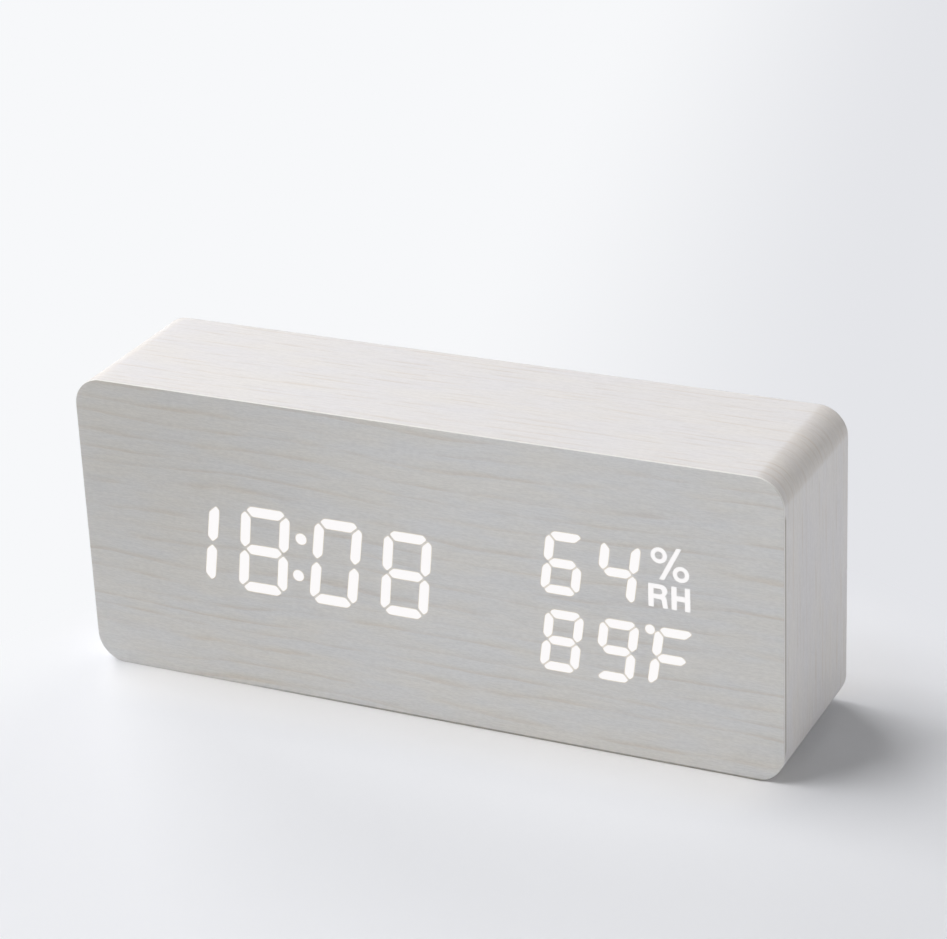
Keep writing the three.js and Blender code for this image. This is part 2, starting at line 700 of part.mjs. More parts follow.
// A button cap, the switch plunger that it presses and the switch body, one group for each button.
function makeButtons() {
  const capGeometry = turned([
    [0, postEnd],
    [button.postRadius, postEnd],
    [button.postRadius, flangeRear - button.flangeHeight],
    [button.flangeRadius, flangeRear - button.flangeHeight],
    [button.flangeRadius, flangeRear],
    [button.radius, flangeRear],
    [button.radius, panelOuter + button.rise - button.edge],
    [button.radius - button.edge, panelOuter + button.rise],
    [0, panelOuter + button.rise],
  ], facets.disc);
  const plungerGeometry = turned([
    [0, switchTop - tactSwitch.plungerDepth],
    [tactSwitch.plungerRadius, switchTop - tactSwitch.plungerDepth],
    [tactSwitch.plungerRadius, postEnd],
    [0, postEnd],
  ], facets.small);
  const half = tactSwitch.side / 2;
  const legRow = half - tactSwitch.legWidth;
  const legs = [-1, 1].map((sign) => block(
    [sign * legRow - tactSwitch.legWidth / 2, sign * legRow + tactSwitch.legWidth / 2],
    [mainBoardRear, mainBoardRear + tactSwitch.legHeight],
    [-half - tactSwitch.legReach, half + tactSwitch.legReach],
  ));
  const housing = join([block([-half, half], [mainBoardRear, switchTop], [-half, half]), ...legs]);
  const bodyGeometry = geometryOf(cut(housing, [rod(
    tactSwitch.plungerRadius + fit.gap, switchTop - tactSwitch.boreDepth,
    switchTop + fit.overrun, [0, 0], facets.small,
  )]));
  buttonNames.forEach((name, number) => {
    const stack = new THREE.Group();
    placed(stack, buttonPlaces[number], 0);
    root.add(stack);
    piece(`${name}_button`, capGeometry, finishes.greyPlastic, stack);
    piece(`${name}_switch_plunger`, plungerGeometry, finishes.blackPlastic, stack);
    piece(`${name}_switch_body`, bodyGeometry, finishes.steel, stack);
  });
}

// Heights of the cells, lowest first, and the bay's end faces.
const cellHeights = slotRows(cellCount, cell.rowHeight).map((up) => middle + up);
const bayEnds = [bayMiddle - bayLength / 2, bayMiddle + bayLength / 2];
const doorFoot = middle - doorHeight / 2;
const tabPlaces = [-1, 1].map((sign) => bayMiddle + sign * tabPlaceShare * doorLength);

// The moulded back: plate, battery tray with its ledge, board bosses and the sound sensor's collar,
// cut for the door, its tabs, the buttons, the socket, the vents and the screws.
function makeRearPanel() {
  const bayCentre = [bayMiddle, middle];
  const outerRing = roundedRing(panelLength, panelHeight, panel.radius);
  const edgeRing = roundedRing(
    panelLength - 2 * panel.chamfer,
    panelHeight - 2 * panel.chamfer,
    panel.radius - panel.chamfer,
  );
  const chamferStart = panelOuter - panel.chamfer;
  const trayRing = roundedRing(doorLength, doorHeight, door.radius, bayCentre);
  const collarRing = roundedRing(collarLength, collarHeight, door.radius + bay.ledge, bayCentre);
  const soundPlace = onMainBoard(soundSensor.placeShares);
  const soundCollar = soundSensor.radius + fit.gap;
  const body = join([
    plate(outerRing, panelInner, chamferStart),
    loft(outerRing, chamferStart, edgeRing, panelOuter),
    plate(trayRing, bayFloor - bay.floor, panelInner + panel.chamfer),
    plate(collarRing, ledgeFace - bay.ledgeDepth, panelInner + panel.chamfer),
    ...boardBossPlaces.map((place) => rod(
      boardBoss.radius, mainBoardRear, panelInner + panel.chamfer, place, facets.small,
    )),
    rod(
      soundCollar + soundHole.wall, mainBoardRear + soundHole.drop,
      panelInner + panel.chamfer, soundPlace, facets.small,
    ),
  ]);

  const out = panelOuter + button.rise + fit.overrun;
  const doorPocket = roundedRing(
    doorLength + 2 * fit.gap, doorHeight + 2 * fit.gap, door.radius + fit.gap, bayCentre,
  );
  const cavityCuts = [
    centredBlock(bayCentre, bayLength, bayHeight, bayFloor, out),
    plate(doorPocket, ledgeFace, out),
    ...tabSlots(),
    ...tailSlots(),
    scoopGeometry(),
    rod(soundCollar, mainBoardRear - fit.overrun, panelInner, soundPlace, facets.small),
  ];
  const socketRing = roundedRing(
    usbSocket.length + 2 * fit.gap, usbSocket.width + 2 * fit.gap,
    usbSocket.radius + fit.gap, onMainBoard(usbSocket.placeShares),
  );
  const [ventX, ventZ] = climatePlace;
  const throughCuts = [
    plate(socketRing, panelInner - fit.overrun, out),
    ...buttonPlaces.map((place) => rod(
      button.radius + fit.gap, panelInner - fit.overrun, out, place, facets.disc,
    )),
    ...slotRows(vent.slots, vent.distance).map((up) => plate(
      roundedRing(vent.length, vent.width, vent.width / 2, [ventX, ventZ + up]),
      panelInner - fit.overrun, out,
    )),
    ...buzzerVentPlaces().map((place) => rod(
      buzzerVent.radius, panelInner - fit.overrun, out, place, facets.hole,
    )),
    rod(soundHole.radius, panelInner - fit.overrun, out, soundPlace, facets.hole),
    ...boardBossPlaces.map((place) => rod(
      boardScrew.shankRadius + fit.thread, mainBoardRear - fit.overrun,
      mainBoardRear + boardScrew.bite + fit.gap, place, facets.screw,
    )),
    ...panelScrewPlaces.map(countersinkAt),
  ];
  piece("rear_panel", geometryOf(cut(body, [...cavityCuts, ...throughCuts])), finishes.backPlastic);
}

// A middle hole and a ring of holes in front of the buzzer.
function buzzerVentPlaces() {
  const [x, z] = onMainBoard(buzzer.placeShares);
  return [[x, z], ...roundRing(buzzerVent.ring, buzzerVent.count, [x, z])];
}

function countersinkAt([x, z]) {
  const headRadius = panelScrew.headRadius + fit.thread;
  const shankRadius = panelScrew.shankRadius + fit.thread;
  return turned([
    [0, panelInner - fit.overrun],
    [shankRadius, panelInner - fit.overrun],
    [shankRadius, panelOuter - panelScrew.headHeight],
    [headRadius, panelOuter],
    [headRadius, panelOuter + fit.overrun],
    [0, panelOuter + fit.overrun],
  ], facets.sunkHead).translate(x, 0, z);
}

// Slots in the bay's lower wall, wide and deep enough for the door's tabs to swing out.
function tabSlots() {
  const sweep = Math.hypot(panelOuter - hookFront, doorTab.reach);
  return tabPlaces.flatMap((x) => {
    const across = [x - doorTab.width / 2 - fit.gap, x + doorTab.width / 2 + fit.gap];
    return [
      block(
        across,
        [panelOuter - sweep - fit.gap, panelInner],
        [doorFoot - doorTab.reach - fit.gap, doorFoot + bay.wall + fit.overrun],
      ),
      block(
        across,
        [panelOuter - sweep - fit.gap, ledgeFace + fit.overrun],
        [doorFoot - fit.gap, doorFoot + bay.wall + fit.overrun],
      ),
    ];
  });
}

// Slots through the bay's end walls for the solder tails of the two end contacts.
function tailSlots() {
  const half = contact.tailWidth / 2 + fit.gap;
  const thick = contact.thickness / 2 + fit.gap;
  const wall = bay.wall + fit.overrun;
  const across = [cellAxis - half, cellAxis + half];
  const first = cellHeights[0];
  const last = cellHeights[cellCount - 1];
  return [
    block([bayEnds[0] - wall, bayEnds[0] + fit.overrun], across, [first - thick, first + thick]),
    block([bayEnds[1] - fit.overrun, bayEnds[1] + wall], across, [last - thick, last + thick]),
  ];
}

// A shallow finger scoop above the door, cut by a lying cylinder.
function scoopGeometry() {
  const { radius, depth, length } = fingerScoop;
  const half = Math.sqrt(2 * radius * depth - depth * depth);
  const geometry = new THREE.CylinderGeometry(radius, radius, length, 2 * facets.disc);
  geometry.rotateZ(quarterTurn);
  return geometry.translate(bayMiddle, panelOuter + radius - depth, doorFoot + doorHeight + fit.gap + half);
}

// The battery door: a flush plate, two hooked tabs along its foot and a springy tongue at its head.
function makeDoor() {
  const ring = roundedRing(doorLength, doorHeight, door.radius, [bayMiddle, middle]);
  const head = doorFoot + doorHeight;
  const tabs = tabPlaces.flatMap((x) => {
    const across = [x - doorTab.width / 2, x + doorTab.width / 2];
    return [
      block(across, [hookFront, ledgeFace + door.thickness / 2], [doorFoot, doorFoot + doorTab.root]),
      block(across, [hookFront, hookBack], [doorFoot - doorTab.reach, doorFoot + doorTab.root]),
    ];
  });
  const rib = block(
    [bayMiddle - doorTongue.width / 2 + doorTongue.slit, bayMiddle + doorTongue.width / 2 - doorTongue.slit],
    [panelOuter - door.thickness / 2, panelOuter + doorTongue.ribRise],
    [head - doorTongue.ribWidth, head],
  );
  const slits = [-1, 1].map((sign) => {
    const x = bayMiddle + (sign * doorTongue.width) / 2;
    return block(
      [x - doorTongue.slit / 2, x + doorTongue.slit / 2],
      [ledgeFace - fit.overrun, panelOuter + fit.overrun],
      [head - doorTongue.length, head + fit.overrun],
    );
  });
  const body = join([plate(ring, ledgeFace, panelOuter), ...tabs, rib]);
  piece("battery_door", geometryOf(cut(body, slits)), finishes.doorPlastic);
}

// Three cells in series, each turned end for end against its neighbour.
function makeCells() {
  const shoulder = cell.length - cell.nubLength;
  const geometry = turned([
    [0, 0],
    [cell.radius - cell.crimp, 0],
    [cell.radius, cell.crimp],
    [cell.radius, shoulder - cell.crimp],
    [cell.radius - cell.crimp, shoulder],
    [cell.nubRadius, shoulder],
    [cell.nubRadius, cell.length],
    [0, cell.length],
  ], facets.disc);
  cellHeights.forEach((z, number) => {
    const nubRight = number % 2 === 0;
    const mesh = piece(`battery_cell_${number + 1}`, geometry, finishes.cellSleeve);
    mesh.rotation.z = nubRight ? -quarterTurn : quarterTurn;
    const offset = contact.thickness + fit.gap + cell.length;
    placed(mesh, [nubRight ? bayEnds[1] - offset : bayEnds[0] + offset, z], cellAxis);
  });
}

// A cone-shaped coil that starts in its plate and runs towards the cell.
class CoilCurve extends THREE.Curve {
  constructor(start, direction, z) {
    super();
    this.start = start;
    this.direction = direction;
    this.z = z;
  }

  getPoint(share, target = new THREE.Vector3()) {
    const angle = share * springTurns * 4 * quarterTurn;
    const radius = spring.baseRadius + share * (spring.tipRadius - spring.baseRadius);
    const along = share * (spring.height - spring.wireRadius);
    return target.set(
      this.start + this.direction * along,
      cellAxis + radius * Math.cos(angle),
      this.z + radius * Math.sin(angle),
    );
  }
}

// One contact: a plate on an end wall, with a spring or a raised pad at each cell that it serves.
function contactGeometry(end, direction, seats, tail) {
  const face = end + direction * contact.thickness;
  const span = (from, to) => [Math.min(from, to), Math.max(from, to)];
  const heights = seats.map(({ z }) => z);
  const half = cell.radius - contact.margin;
  const parts = [block(
    span(end, face),
    [cellAxis - contact.depth / 2, cellAxis + contact.depth / 2],
    [Math.min(...heights) - half, Math.max(...heights) + half],
  )];
  seats.forEach(({ z, sprung }) => {
    if (sprung) {
      const curve = new CoilCurve(face, direction, z);
      parts.push(wireAlong(curve, spring.wireRadius, facets.wire, springTurns * facets.coil));
    } else {
      parts.push(new THREE.CylinderGeometry(
        contactPad.radius, contactPad.radius, contactPad.rise + contact.thickness / 2, facets.hole,
      ).rotateZ(quarterTurn).translate(
        face + (direction * (contactPad.rise - contact.thickness / 2)) / 2, cellAxis, z,
      ));
    }
  });
  if (tail) {
    const z = heights[0];
    parts.push(block(
      span(end - direction * (bay.wall + contact.tailLength), end),
      [cellAxis - contact.tailWidth / 2, cellAxis + contact.tailWidth / 2],
      [z - contact.thickness / 2, z + contact.thickness / 2],
    ));
  }
  return geometryOf(join(parts));
}

function makeContacts() {
  const [low, mid, high] = cellHeights;
  const [left, right] = bayEnds;
  const plates = {
    contact_negative: contactGeometry(left, 1, [{ z: low, sprung: true }], true),
    contact_link_left: contactGeometry(
      left, 1, [{ z: mid, sprung: false }, { z: high, sprung: true }], false,
    ),
    contact_link_right: contactGeometry(
      right, -1, [{ z: low, sprung: false }, { z: mid, sprung: true }], false,
    ),
    contact_positive: contactGeometry(right, -1, [{ z: high, sprung: false }], true),
  };
  for (const [name, geometry] of Object.entries(plates)) {
    piece(name, geometry, finishes.nickel);
  }
}

// The flat cable: an S in plan between the two connectors.
function makeRibbon() {
  const [mainX, z] = onMainBoard(ribbonPlaceShares);
  const ledX = mainX - ribbon.shift;
  const slotWidth = ribbon.width + 2 * fit.gap;
  const slotThickness = ribbon.thickness + 2 * fit.gap;
  const socket = (name, x, [front, back], [slotFront, slotBack]) => {
    const housing = centredBlock([x, z], connector.width, connector.length, front, back);
    const mouth = centredBlock([x, z], slotThickness, slotWidth, slotFront, slotBack);
    piece(name, geometryOf(cut(solid(housing), [mouth])), finishes.whitePlastic);
  };
  const ledTop = ledBoardBack + connector.height;
  const mainTop = mainBoardFront - connector.height;
  const ledSlot = [ledTop - connector.slotDepth, ledTop + fit.overrun];
  const mainSlot = [mainTop - fit.overrun, mainTop + connector.slotDepth];
  socket("led_board_connector", ledX, [ledBoardBack, ledTop], ledSlot);
  socket("main_board_connector", mainX, [mainTop, mainBoardFront], mainSlot);

  const start = ledTop - connector.slotDepth + fit.gap;
  const end = mainTop + connector.slotDepth - fit.gap;
  const bend = new THREE.CubicBezierCurve(
    new THREE.Vector2(ledX, ledTop),
    new THREE.Vector2(ledX, (ledTop + mainTop) / 2 + ribbon.thickness),
    new THREE.Vector2(mainX, (ledTop + mainTop) / 2 - ribbon.thickness),
    new THREE.Vector2(mainX, mainTop),
  );
  const middleLine = [
    { at: new THREE.Vector2(ledX, start), tangent: new THREE.Vector2(0, 1) },
    ...Array.from({ length: facets.disc + 1 }, (_, step) => ({
      at: bend.getPoint(step / facets.disc),
      tangent: bend.getTangent(step / facets.disc),
    })),
    { at: new THREE.Vector2(mainX, end), tangent: new THREE.Vector2(0, 1) },
  ];
  const side = (sign) => middleLine.map(({ at, tangent }) => new THREE.Vector2(
    at.x + (sign * tangent.y * ribbon.thickness) / 2,
    at.y - (sign * tangent.x * ribbon.thickness) / 2,
  ));
  const outline = new THREE.Shape([...side(1), ...side(-1).reverse()]);
  const geometry = new THREE.ExtrudeGeometry(outline, { depth: ribbon.width, bevelEnabled: false });
  piece("ribbon_cable", geometry.translate(0, 0, z - ribbon.width / 2), finishes.ribbonGrey);
}

// Battery leads: the positive one hops to the board beside it, the negative one runs under the bay.
function makeLeads() {
  const tailReach = bay.wall + contact.tailLength + fit.gap;
  const padX = mainBoardLeft + lead.padInset;
  const stand = lead.radius + fit.gap;
  const high = cellHeights[cellCount - 1];
  const rightTail = bayEnds[1] + tailReach;
  const positive = new THREE.CatmullRomCurve3([
    new THREE.Vector3(rightTail, cellAxis, high),
    new THREE.Vector3((rightTail + padX) / 2, (cellAxis + mainBoardRear + stand) / 2, high),
    new THREE.Vector3(padX, mainBoardRear + stand, high),
  ]);
  piece("positive_lead", wireAlong(positive, lead.radius, facets.lead, facets.coil), finishes.redLead);

  const low = cellHeights[0];
  const leftTail = bayEnds[0] - tailReach;
  const under = bayFloor - bay.floor - stand;
  const negative = new THREE.CatmullRomCurve3([
    new THREE.Vector3(leftTail, cellAxis, low),
    new THREE.Vector3(leftTail - lead.bend, cellAxis - lead.bend, low),
    new THREE.Vector3(leftTail - lead.bend, under + lead.bend, low),
    new THREE.Vector3(leftTail, under, low),
    new THREE.Vector3(leftTail + lead.bend, under, low),
    new THREE.Vector3(bayMiddle, under, low),
    new THREE.Vector3(bayEnds[1] + bay.wall, under, low),
    new THREE.Vector3(padX, mainBoardFront - stand, low),
  ]);
  piece("negative_lead", wireAlong(negative, lead.radius, facets.lead, 4 * facets.coil), finishes.blackLead);
}

makeFrontVeneer();
makeWrapVeneer();
makeCore();
makeDisplay();
makeScrews();
makeMainBoard();
makeStandingParts();
makeUsbSocket();
makeButtons();
makeRearPanel();
makeDoor();
makeCells();
makeContacts();
makeRibbon();
makeLeads();

export default root;
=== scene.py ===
# %% [markdown]
# # A desk clock in a veneered case
# The real clock is a fibreboard box wrapped in white-stained wood veneer, with lamps that shine
# through the front sheet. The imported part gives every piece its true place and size. This script
# gives each surface its finish, and rebuilds the pieces whose softness or grain a plain solid
# can't show. Everything is in metres, in the part's own frame.

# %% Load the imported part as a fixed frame
import json
import math

import bmesh
import bpy
import numpy as np
from mathutils import Matrix, Vector

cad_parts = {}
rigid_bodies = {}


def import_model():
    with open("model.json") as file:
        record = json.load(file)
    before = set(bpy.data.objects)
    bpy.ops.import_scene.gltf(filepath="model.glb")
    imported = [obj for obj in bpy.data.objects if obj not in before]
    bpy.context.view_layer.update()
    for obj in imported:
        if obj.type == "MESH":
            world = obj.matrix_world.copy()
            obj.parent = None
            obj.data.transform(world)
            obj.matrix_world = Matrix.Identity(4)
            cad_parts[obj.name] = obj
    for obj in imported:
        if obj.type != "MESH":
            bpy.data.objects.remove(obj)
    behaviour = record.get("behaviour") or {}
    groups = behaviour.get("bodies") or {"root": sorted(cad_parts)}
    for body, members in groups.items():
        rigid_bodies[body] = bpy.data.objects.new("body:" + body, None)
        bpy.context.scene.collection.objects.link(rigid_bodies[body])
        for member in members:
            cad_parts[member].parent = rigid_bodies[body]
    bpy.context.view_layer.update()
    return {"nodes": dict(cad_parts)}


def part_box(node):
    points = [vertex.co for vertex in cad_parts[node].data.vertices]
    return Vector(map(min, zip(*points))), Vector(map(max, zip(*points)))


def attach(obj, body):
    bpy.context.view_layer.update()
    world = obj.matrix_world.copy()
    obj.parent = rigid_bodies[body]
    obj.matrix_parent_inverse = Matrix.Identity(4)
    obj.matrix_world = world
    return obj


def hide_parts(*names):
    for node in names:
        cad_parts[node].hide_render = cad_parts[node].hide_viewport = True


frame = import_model()
nodes = frame["nodes"]
MM = 0.001
QUARTER_TURN, TURN = math.pi / 2, 2 * math.pi

# %% [markdown]
# ## The camera
# A photograph's viewpoint can be found from the straight edges of a box. Here the case's corners
# were fitted, which gives the direction, a slight roll and a long lens. Those few numbers place the
# camera, so nothing else in the scene has to be bent to match the picture.

# %% Camera at the photograph's viewpoint
AZIMUTH, ELEVATION, ROLL = map(math.radians, (25.903, 24.033, -2.54))
CAMERA_TARGET = np.array([12.77, -18.0, 55.96]) * MM
CAMERA_DISTANCE = 606.6 * MM
CAMERA_LENS, SENSOR_WIDTH = 121.75, 36.0


def towards(azimuth, elevation):
    """The direction to a place round the object: azimuth from the front to the right, and elevation
    from the floor up, (sin a cos e, -cos a cos e, sin e)."""
    flat = math.cos(elevation)
    return np.array([math.sin(azimuth) * flat, -math.cos(azimuth) * flat, math.sin(elevation)])


# Right is level across the line of sight, and both right and up then turn by the roll about it.
back = towards(AZIMUTH, ELEVATION)
level = np.cross(-back, [0.0, 0.0, 1.0])
level /= np.linalg.norm(level)
upright = np.cross(level, -back)
turn = np.eye(4)
turn[:3, 0] = math.cos(ROLL) * level + math.sin(ROLL) * upright
turn[:3, 1] = -math.sin(ROLL) * level + math.cos(ROLL) * upright
turn[:3, 2] = back
turn[:3, 3] = CAMERA_TARGET + CAMERA_DISTANCE * back
camera = bpy.data.objects.new("camera", bpy.data.cameras.new("camera"))
bpy.context.scene.collection.objects.link(camera)
camera.data.lens, camera.data.sensor_width = CAMERA_LENS, SENSOR_WIDTH
camera.data.sensor_fit = "HORIZONTAL"
camera.data.clip_start, camera.data.clip_end = 0.01, 50.0
camera.matrix_world = Matrix(turn.tolist())
bpy.context.scene.camera = camera
bpy.context.scene.view_settings.view_transform = "Standard"
print("camera at", (turn[:3, 3] / MM).round(1), "mm")

# %% [markdown]
# ## Small tools for materials
# Colours are given as sRGB hex values, but shaders work in linear light, so one function
# converts them. A second function adds a node with its settings and links, which keeps each
# material readable as a short list of steps.

# %% Colours and nodes
# Settings that many nodes share: an eased step, a blend of two colours, and a tint, which multiplies.
SMOOTH = {"interpolation_type": "SMOOTHSTEP"}
BLEND = {"data_type": "RGBA", "out": 2}
TINT = {"data_type": "RGBA", "blend_type": "MULTIPLY", "out": 2}


def linear(hex_colour):
    """An sRGB hex colour as linear red, green, blue and alpha."""
    srgb = np.array([int(hex_colour[i:i + 2], 16) for i in (0, 2, 4)]) / 255
    light = np.where(srgb <= 0.04045, srgb / 12.92, ((srgb + 0.055) / 1.055) ** 2.4)
    return (*light.tolist(), 1.0)


def add(tree, kind, inputs=(), out=0, **settings):
    """Adds one node and gives one of its outputs. Inputs are values, or outputs that feed it, in the
    sockets' order or by their name or number. Settings are the node's own options."""
    node = tree.nodes.new("ShaderNode" + kind)
    for name, value in settings.items():
        setattr(node, name, value)
    for socket, value in inputs.items() if isinstance(inputs, dict) else enumerate(inputs):
        if isinstance(value, bpy.types.NodeSocket):
            tree.links.new(value, node.inputs[socket])
        else:
            node.inputs[socket].default_value = value
    return node.outputs[out]


def new_material(name, **sockets):
    """A material, its node tree and its Principled shader, with these sockets set."""
    made = bpy.data.materials.new(name)
    made.use_nodes = True
    shader = made.node_tree.nodes["Principled BSDF"]
    for socket, value in sockets.items():
        shader.inputs[socket.replace("_", " ")].default_value = value
    return made, made.node_tree, shader


def millimetres(tree):
    """The point in the frame, in millimetres."""
    place = add(tree, "TexCoord", out="Object")
    return add(tree, "VectorMath", (place, (1 / MM,) * 3), operation="MULTIPLY")


def feed(shader, **outputs):
    """Links the outputs of other nodes to the sockets of these names."""
    for socket, output in outputs.items():
        shader.id_data.links.new(output, shader.inputs[socket.replace("_", " ")])


print("colours are linear inside: grey 808080 is", round(linear("808080")[0], 3))

# %% [markdown]
# ## White-stained veneer
# The case wears thin wood veneer under a white stain and a matt lacquer. Three things show: wavy
# warm growth lines a few millimetres apart, fine pale streaks where the stain fills the pores, and
# a faint cloudiness. Each is a noise stretched along the grain, and the growth lines are the
# contours of a stretched noise, so they waver together and never cross.

# %% Veneer, sliced from white-stained wood and lacquered matt
VENEER_IOR = 1.45


def stained_veneer(name, grain, look):
    """Veneer whose grain runs along the first coordinate of a point in millimetres.
    grain gives that point's socket from the material's tree, and look holds the real sizes:
    how far growth lines lie apart, how they waver, how wide the streaks are, and the colours."""
    made, tree, shader = new_material(name, Roughness=look["roughness"], IOR=VENEER_IOR)
    point = grain(tree)

    def stretched(size, detail, shift):
        """Noise whose features are that long and that wide, in millimetres."""
        scaled = add(tree, "Mapping", {
            "Vector": point, "Scale": (1 / size[0], 1 / size[1], 1.0), "Location": (shift,) * 3,
        })
        return add(tree, "TexNoise", {
            "Vector": scaled, "Scale": 1.0, "Detail": detail, "Roughness": 0.55,
        })

    # The growth lines are contours of the distance across the grain, made to waver by three noises.
    wavy = add(tree, "SeparateXYZ", (point,), 1)
    for wave, detail, shift in (("long", 1.0, 3.1), ("short", 2.0, 7.7), ("spacing", 0.0, 12.3)):
        noise = stretched(look[wave + "_wave"], detail, shift)
        centred = add(tree, "Math", (noise, 0.5), operation="SUBTRACT")
        wavy = add(tree, "Math", (centred, look[wave + "_reach"], wavy), operation="MULTIPLY_ADD")
    rings = add(tree, "Math", (wavy, 1 / look["spacing"]), operation="MULTIPLY")
    phase = add(tree, "Math", (rings,), operation="FRACT")
    onset = add(tree, "MapRange", (phase, 1 - look["onset_share"], 1.0, 0.0, 1.0), **SMOOTH)
    fading = stretched(look["fade_wave"], 2.0, 21.0)
    presence = add(tree, "MapRange", (fading, *look["fade"], look["fade_floor"], 1.0), **SMOOTH)

    def line(share):
        """A growth line that starts at once and fades over that share of the way to the next."""
        tail = add(tree, "MapRange", (phase, 0.0, share, 1.0, 0.0), **SMOOTH)
        both = add(tree, "Math", (tail, onset), operation="MAXIMUM")
        return add(tree, "Math", (both, presence), operation="MULTIPLY")

    ringed, haloed = line(look["tail_share"]), line(look["halo_share"])
    streak, fibre = stretched(look["streak"], 3.0, 33.0), stretched(look["fibre"], 2.0, 57.0)
    cloud = add(tree, "MapRange", (stretched(look["cloud"], 2.0, 41.0), 0.32, 0.68), **SMOOTH)
    streaked = add(tree, "MapRange", (streak, 0.34, 0.66), **SMOOTH)
    fibred = add(tree, "MapRange", (fibre, 0.36, 0.64), **SMOOTH)
    colour = add(tree, "Mix", {0: cloud, 6: linear(look["cool"]), 7: linear(look["warm"])}, **BLEND)
    for share, tint in (
        (streaked, "streak_tint"), (fibred, "fibre_tint"), (haloed, "halo"), (ringed, "ring"),
    ):
        colour = add(tree, "Mix", {0: share, 6: colour, 7: linear(look[tint])}, **TINT)

    # The streaks and fibres stand up, and the growth lines lie a little lower.
    relief = add(tree, "Math", (streak, ringed), operation="SUBTRACT")
    relief = add(tree, "Math", (relief, fibre), operation="ADD")
    bump = add(tree, "Bump", {"Height": relief, "Strength": 1.0, "Distance": look["relief"] * MM})
    feed(shader, Base_Color=colour, Normal=bump)
    return made, tree, shader, colour


print("veneer refracts", VENEER_IOR)

# %% The front's own grain

def front_point(tree):
    """The point on the front face in millimetres: grain along X, across it up Z."""
    place = millimetres(tree)
    along, up = add(tree, "SeparateXYZ", (place,), "X"), add(tree, "SeparateXYZ", (place,), "Z")
    return add(tree, "CombineXYZ", (along, up))


FRONT_LOOK = {
    "long_wave": (60.0, 22.0), "long_reach": 7.0, "short_wave": (11.0, 5.0), "short_reach": 1.1,
    "spacing_wave": (90.0, 7.0), "spacing_reach": 5.0, "spacing": 3.7,
    "onset_share": 0.1, "tail_share": 0.26, "halo_share": 0.68,
    "fade_wave": (26.0, 4.0), "fade": (0.38, 0.66), "fade_floor": 0.05,
    "streak": (5.0, 0.6), "fibre": (1.2, 0.26), "cloud": (20.0, 5.0), "relief": 0.01, "roughness": 0.56,
    "cool": "eeeeed", "warm": "f1efea", "streak_tint": "fafafa", "fibre_tint": "f8f8f8",
    "halo": "fdfcfa", "ring": "f9f6f3",
}
front_finish, front_tree, front_shader, front_colour = stained_veneer(
    "white_stained_veneer_front", front_point, FRONT_LOOK,
)
print("front veneer: growth lines about", FRONT_LOOK["spacing"], "mm apart")

# %% [markdown]
# The front is painted a little darker towards its upper left corner: painted shade. The sheet's
# edge is painted paler: a painted highlight where the broken edge catches the light. Along its foot
# runs a fine dark line, a painted shadow under the foot, which fades towards the left.

# %% Painted corner shade, edge highlight and foot shadow
# Painted shade: the front darkens towards its upper left corner, over this reach in millimetres.
SHADED_CORNER, CORNER_SHADE_REACH, CORNER_SHADE_TINT = (-75.0, 63.0, 0.0), (15.0, 95.0), "efeeec"
# Painted highlight: the sheet's edge is painted paler where it catches the light.
HIGHLIGHT_FACING, EDGE_HIGHLIGHT_TINT = (0.85, 0.5), "f5f3ef"
# Painted shadow: a fine dark line along the foot, fading out towards the left.
FOOT_SHADOW_RISE, FOOT_SHADOW_ENDS, FOOT_SHADOW_TINT = (0.55, 0.2), (-62.0, -5.0), "bdb9b3"
sheet_point = front_point(front_tree)
# The corner's painted shade.
from_corner = add(front_tree, "VectorMath", (sheet_point, SHADED_CORNER), "Value", operation="DISTANCE")
corner_shade = add(front_tree, "MapRange", (from_corner, *CORNER_SHADE_REACH, 1.0, 0.0), **SMOOTH)
corner_shaded = add(front_tree, "Mix", {0: corner_shade, 6: front_colour, 7: linear(CORNER_SHADE_TINT)}, **TINT)
# The edge's painted highlight grows as a face turns away from the front.
facing = add(front_tree, "SeparateXYZ", (add(front_tree, "TexCoord", out="Normal"),), "Y")
facing = add(front_tree, "Math", (facing,), operation="ABSOLUTE")
highlight_share = add(front_tree, "MapRange", (facing, *HIGHLIGHT_FACING))
highlighted = add(front_tree, "Mix", {0: highlight_share, 6: corner_shaded, 7: linear(EDGE_HIGHLIGHT_TINT)}, **BLEND)
# The foot's painted shadow line.
along_front = add(front_tree, "SeparateXYZ", (sheet_point,), "X")
up_front = add(front_tree, "SeparateXYZ", (sheet_point,), "Y")
low_share = add(front_tree, "MapRange", (up_front, *FOOT_SHADOW_RISE), **SMOOTH)
foot_shadow_share = add(front_tree, "MapRange", (along_front, *FOOT_SHADOW_ENDS), **SMOOTH)
foot_shadow_share = add(front_tree, "Math", (low_share, foot_shadow_share), operation="MULTIPLY")
foot_shadowed = add(front_tree, "Mix", {0: foot_shadow_share, 6: highlighted, 7: linear(FOOT_SHADOW_TINT)}, **TINT)
feed(front_shader, Base_Color=foot_shadowed)
print("painted shade darkens within", CORNER_SHADE_REACH, "mm of the corner")

# %% [markdown]
# ## Surfaces from numbers
# Nearly every piece here is a profile carried round an outline: the case band, the front sheet, a
# screw, a cell. So one function makes the outline, another carries the profile round it as a grid,
# and a third turns a grid into a mesh that rides on its body. Lengths are in millimetres until the
# mesh is made.

# %% Outlines and grids
CORNER_STEPS = 20
EDGE_STEPS = 40


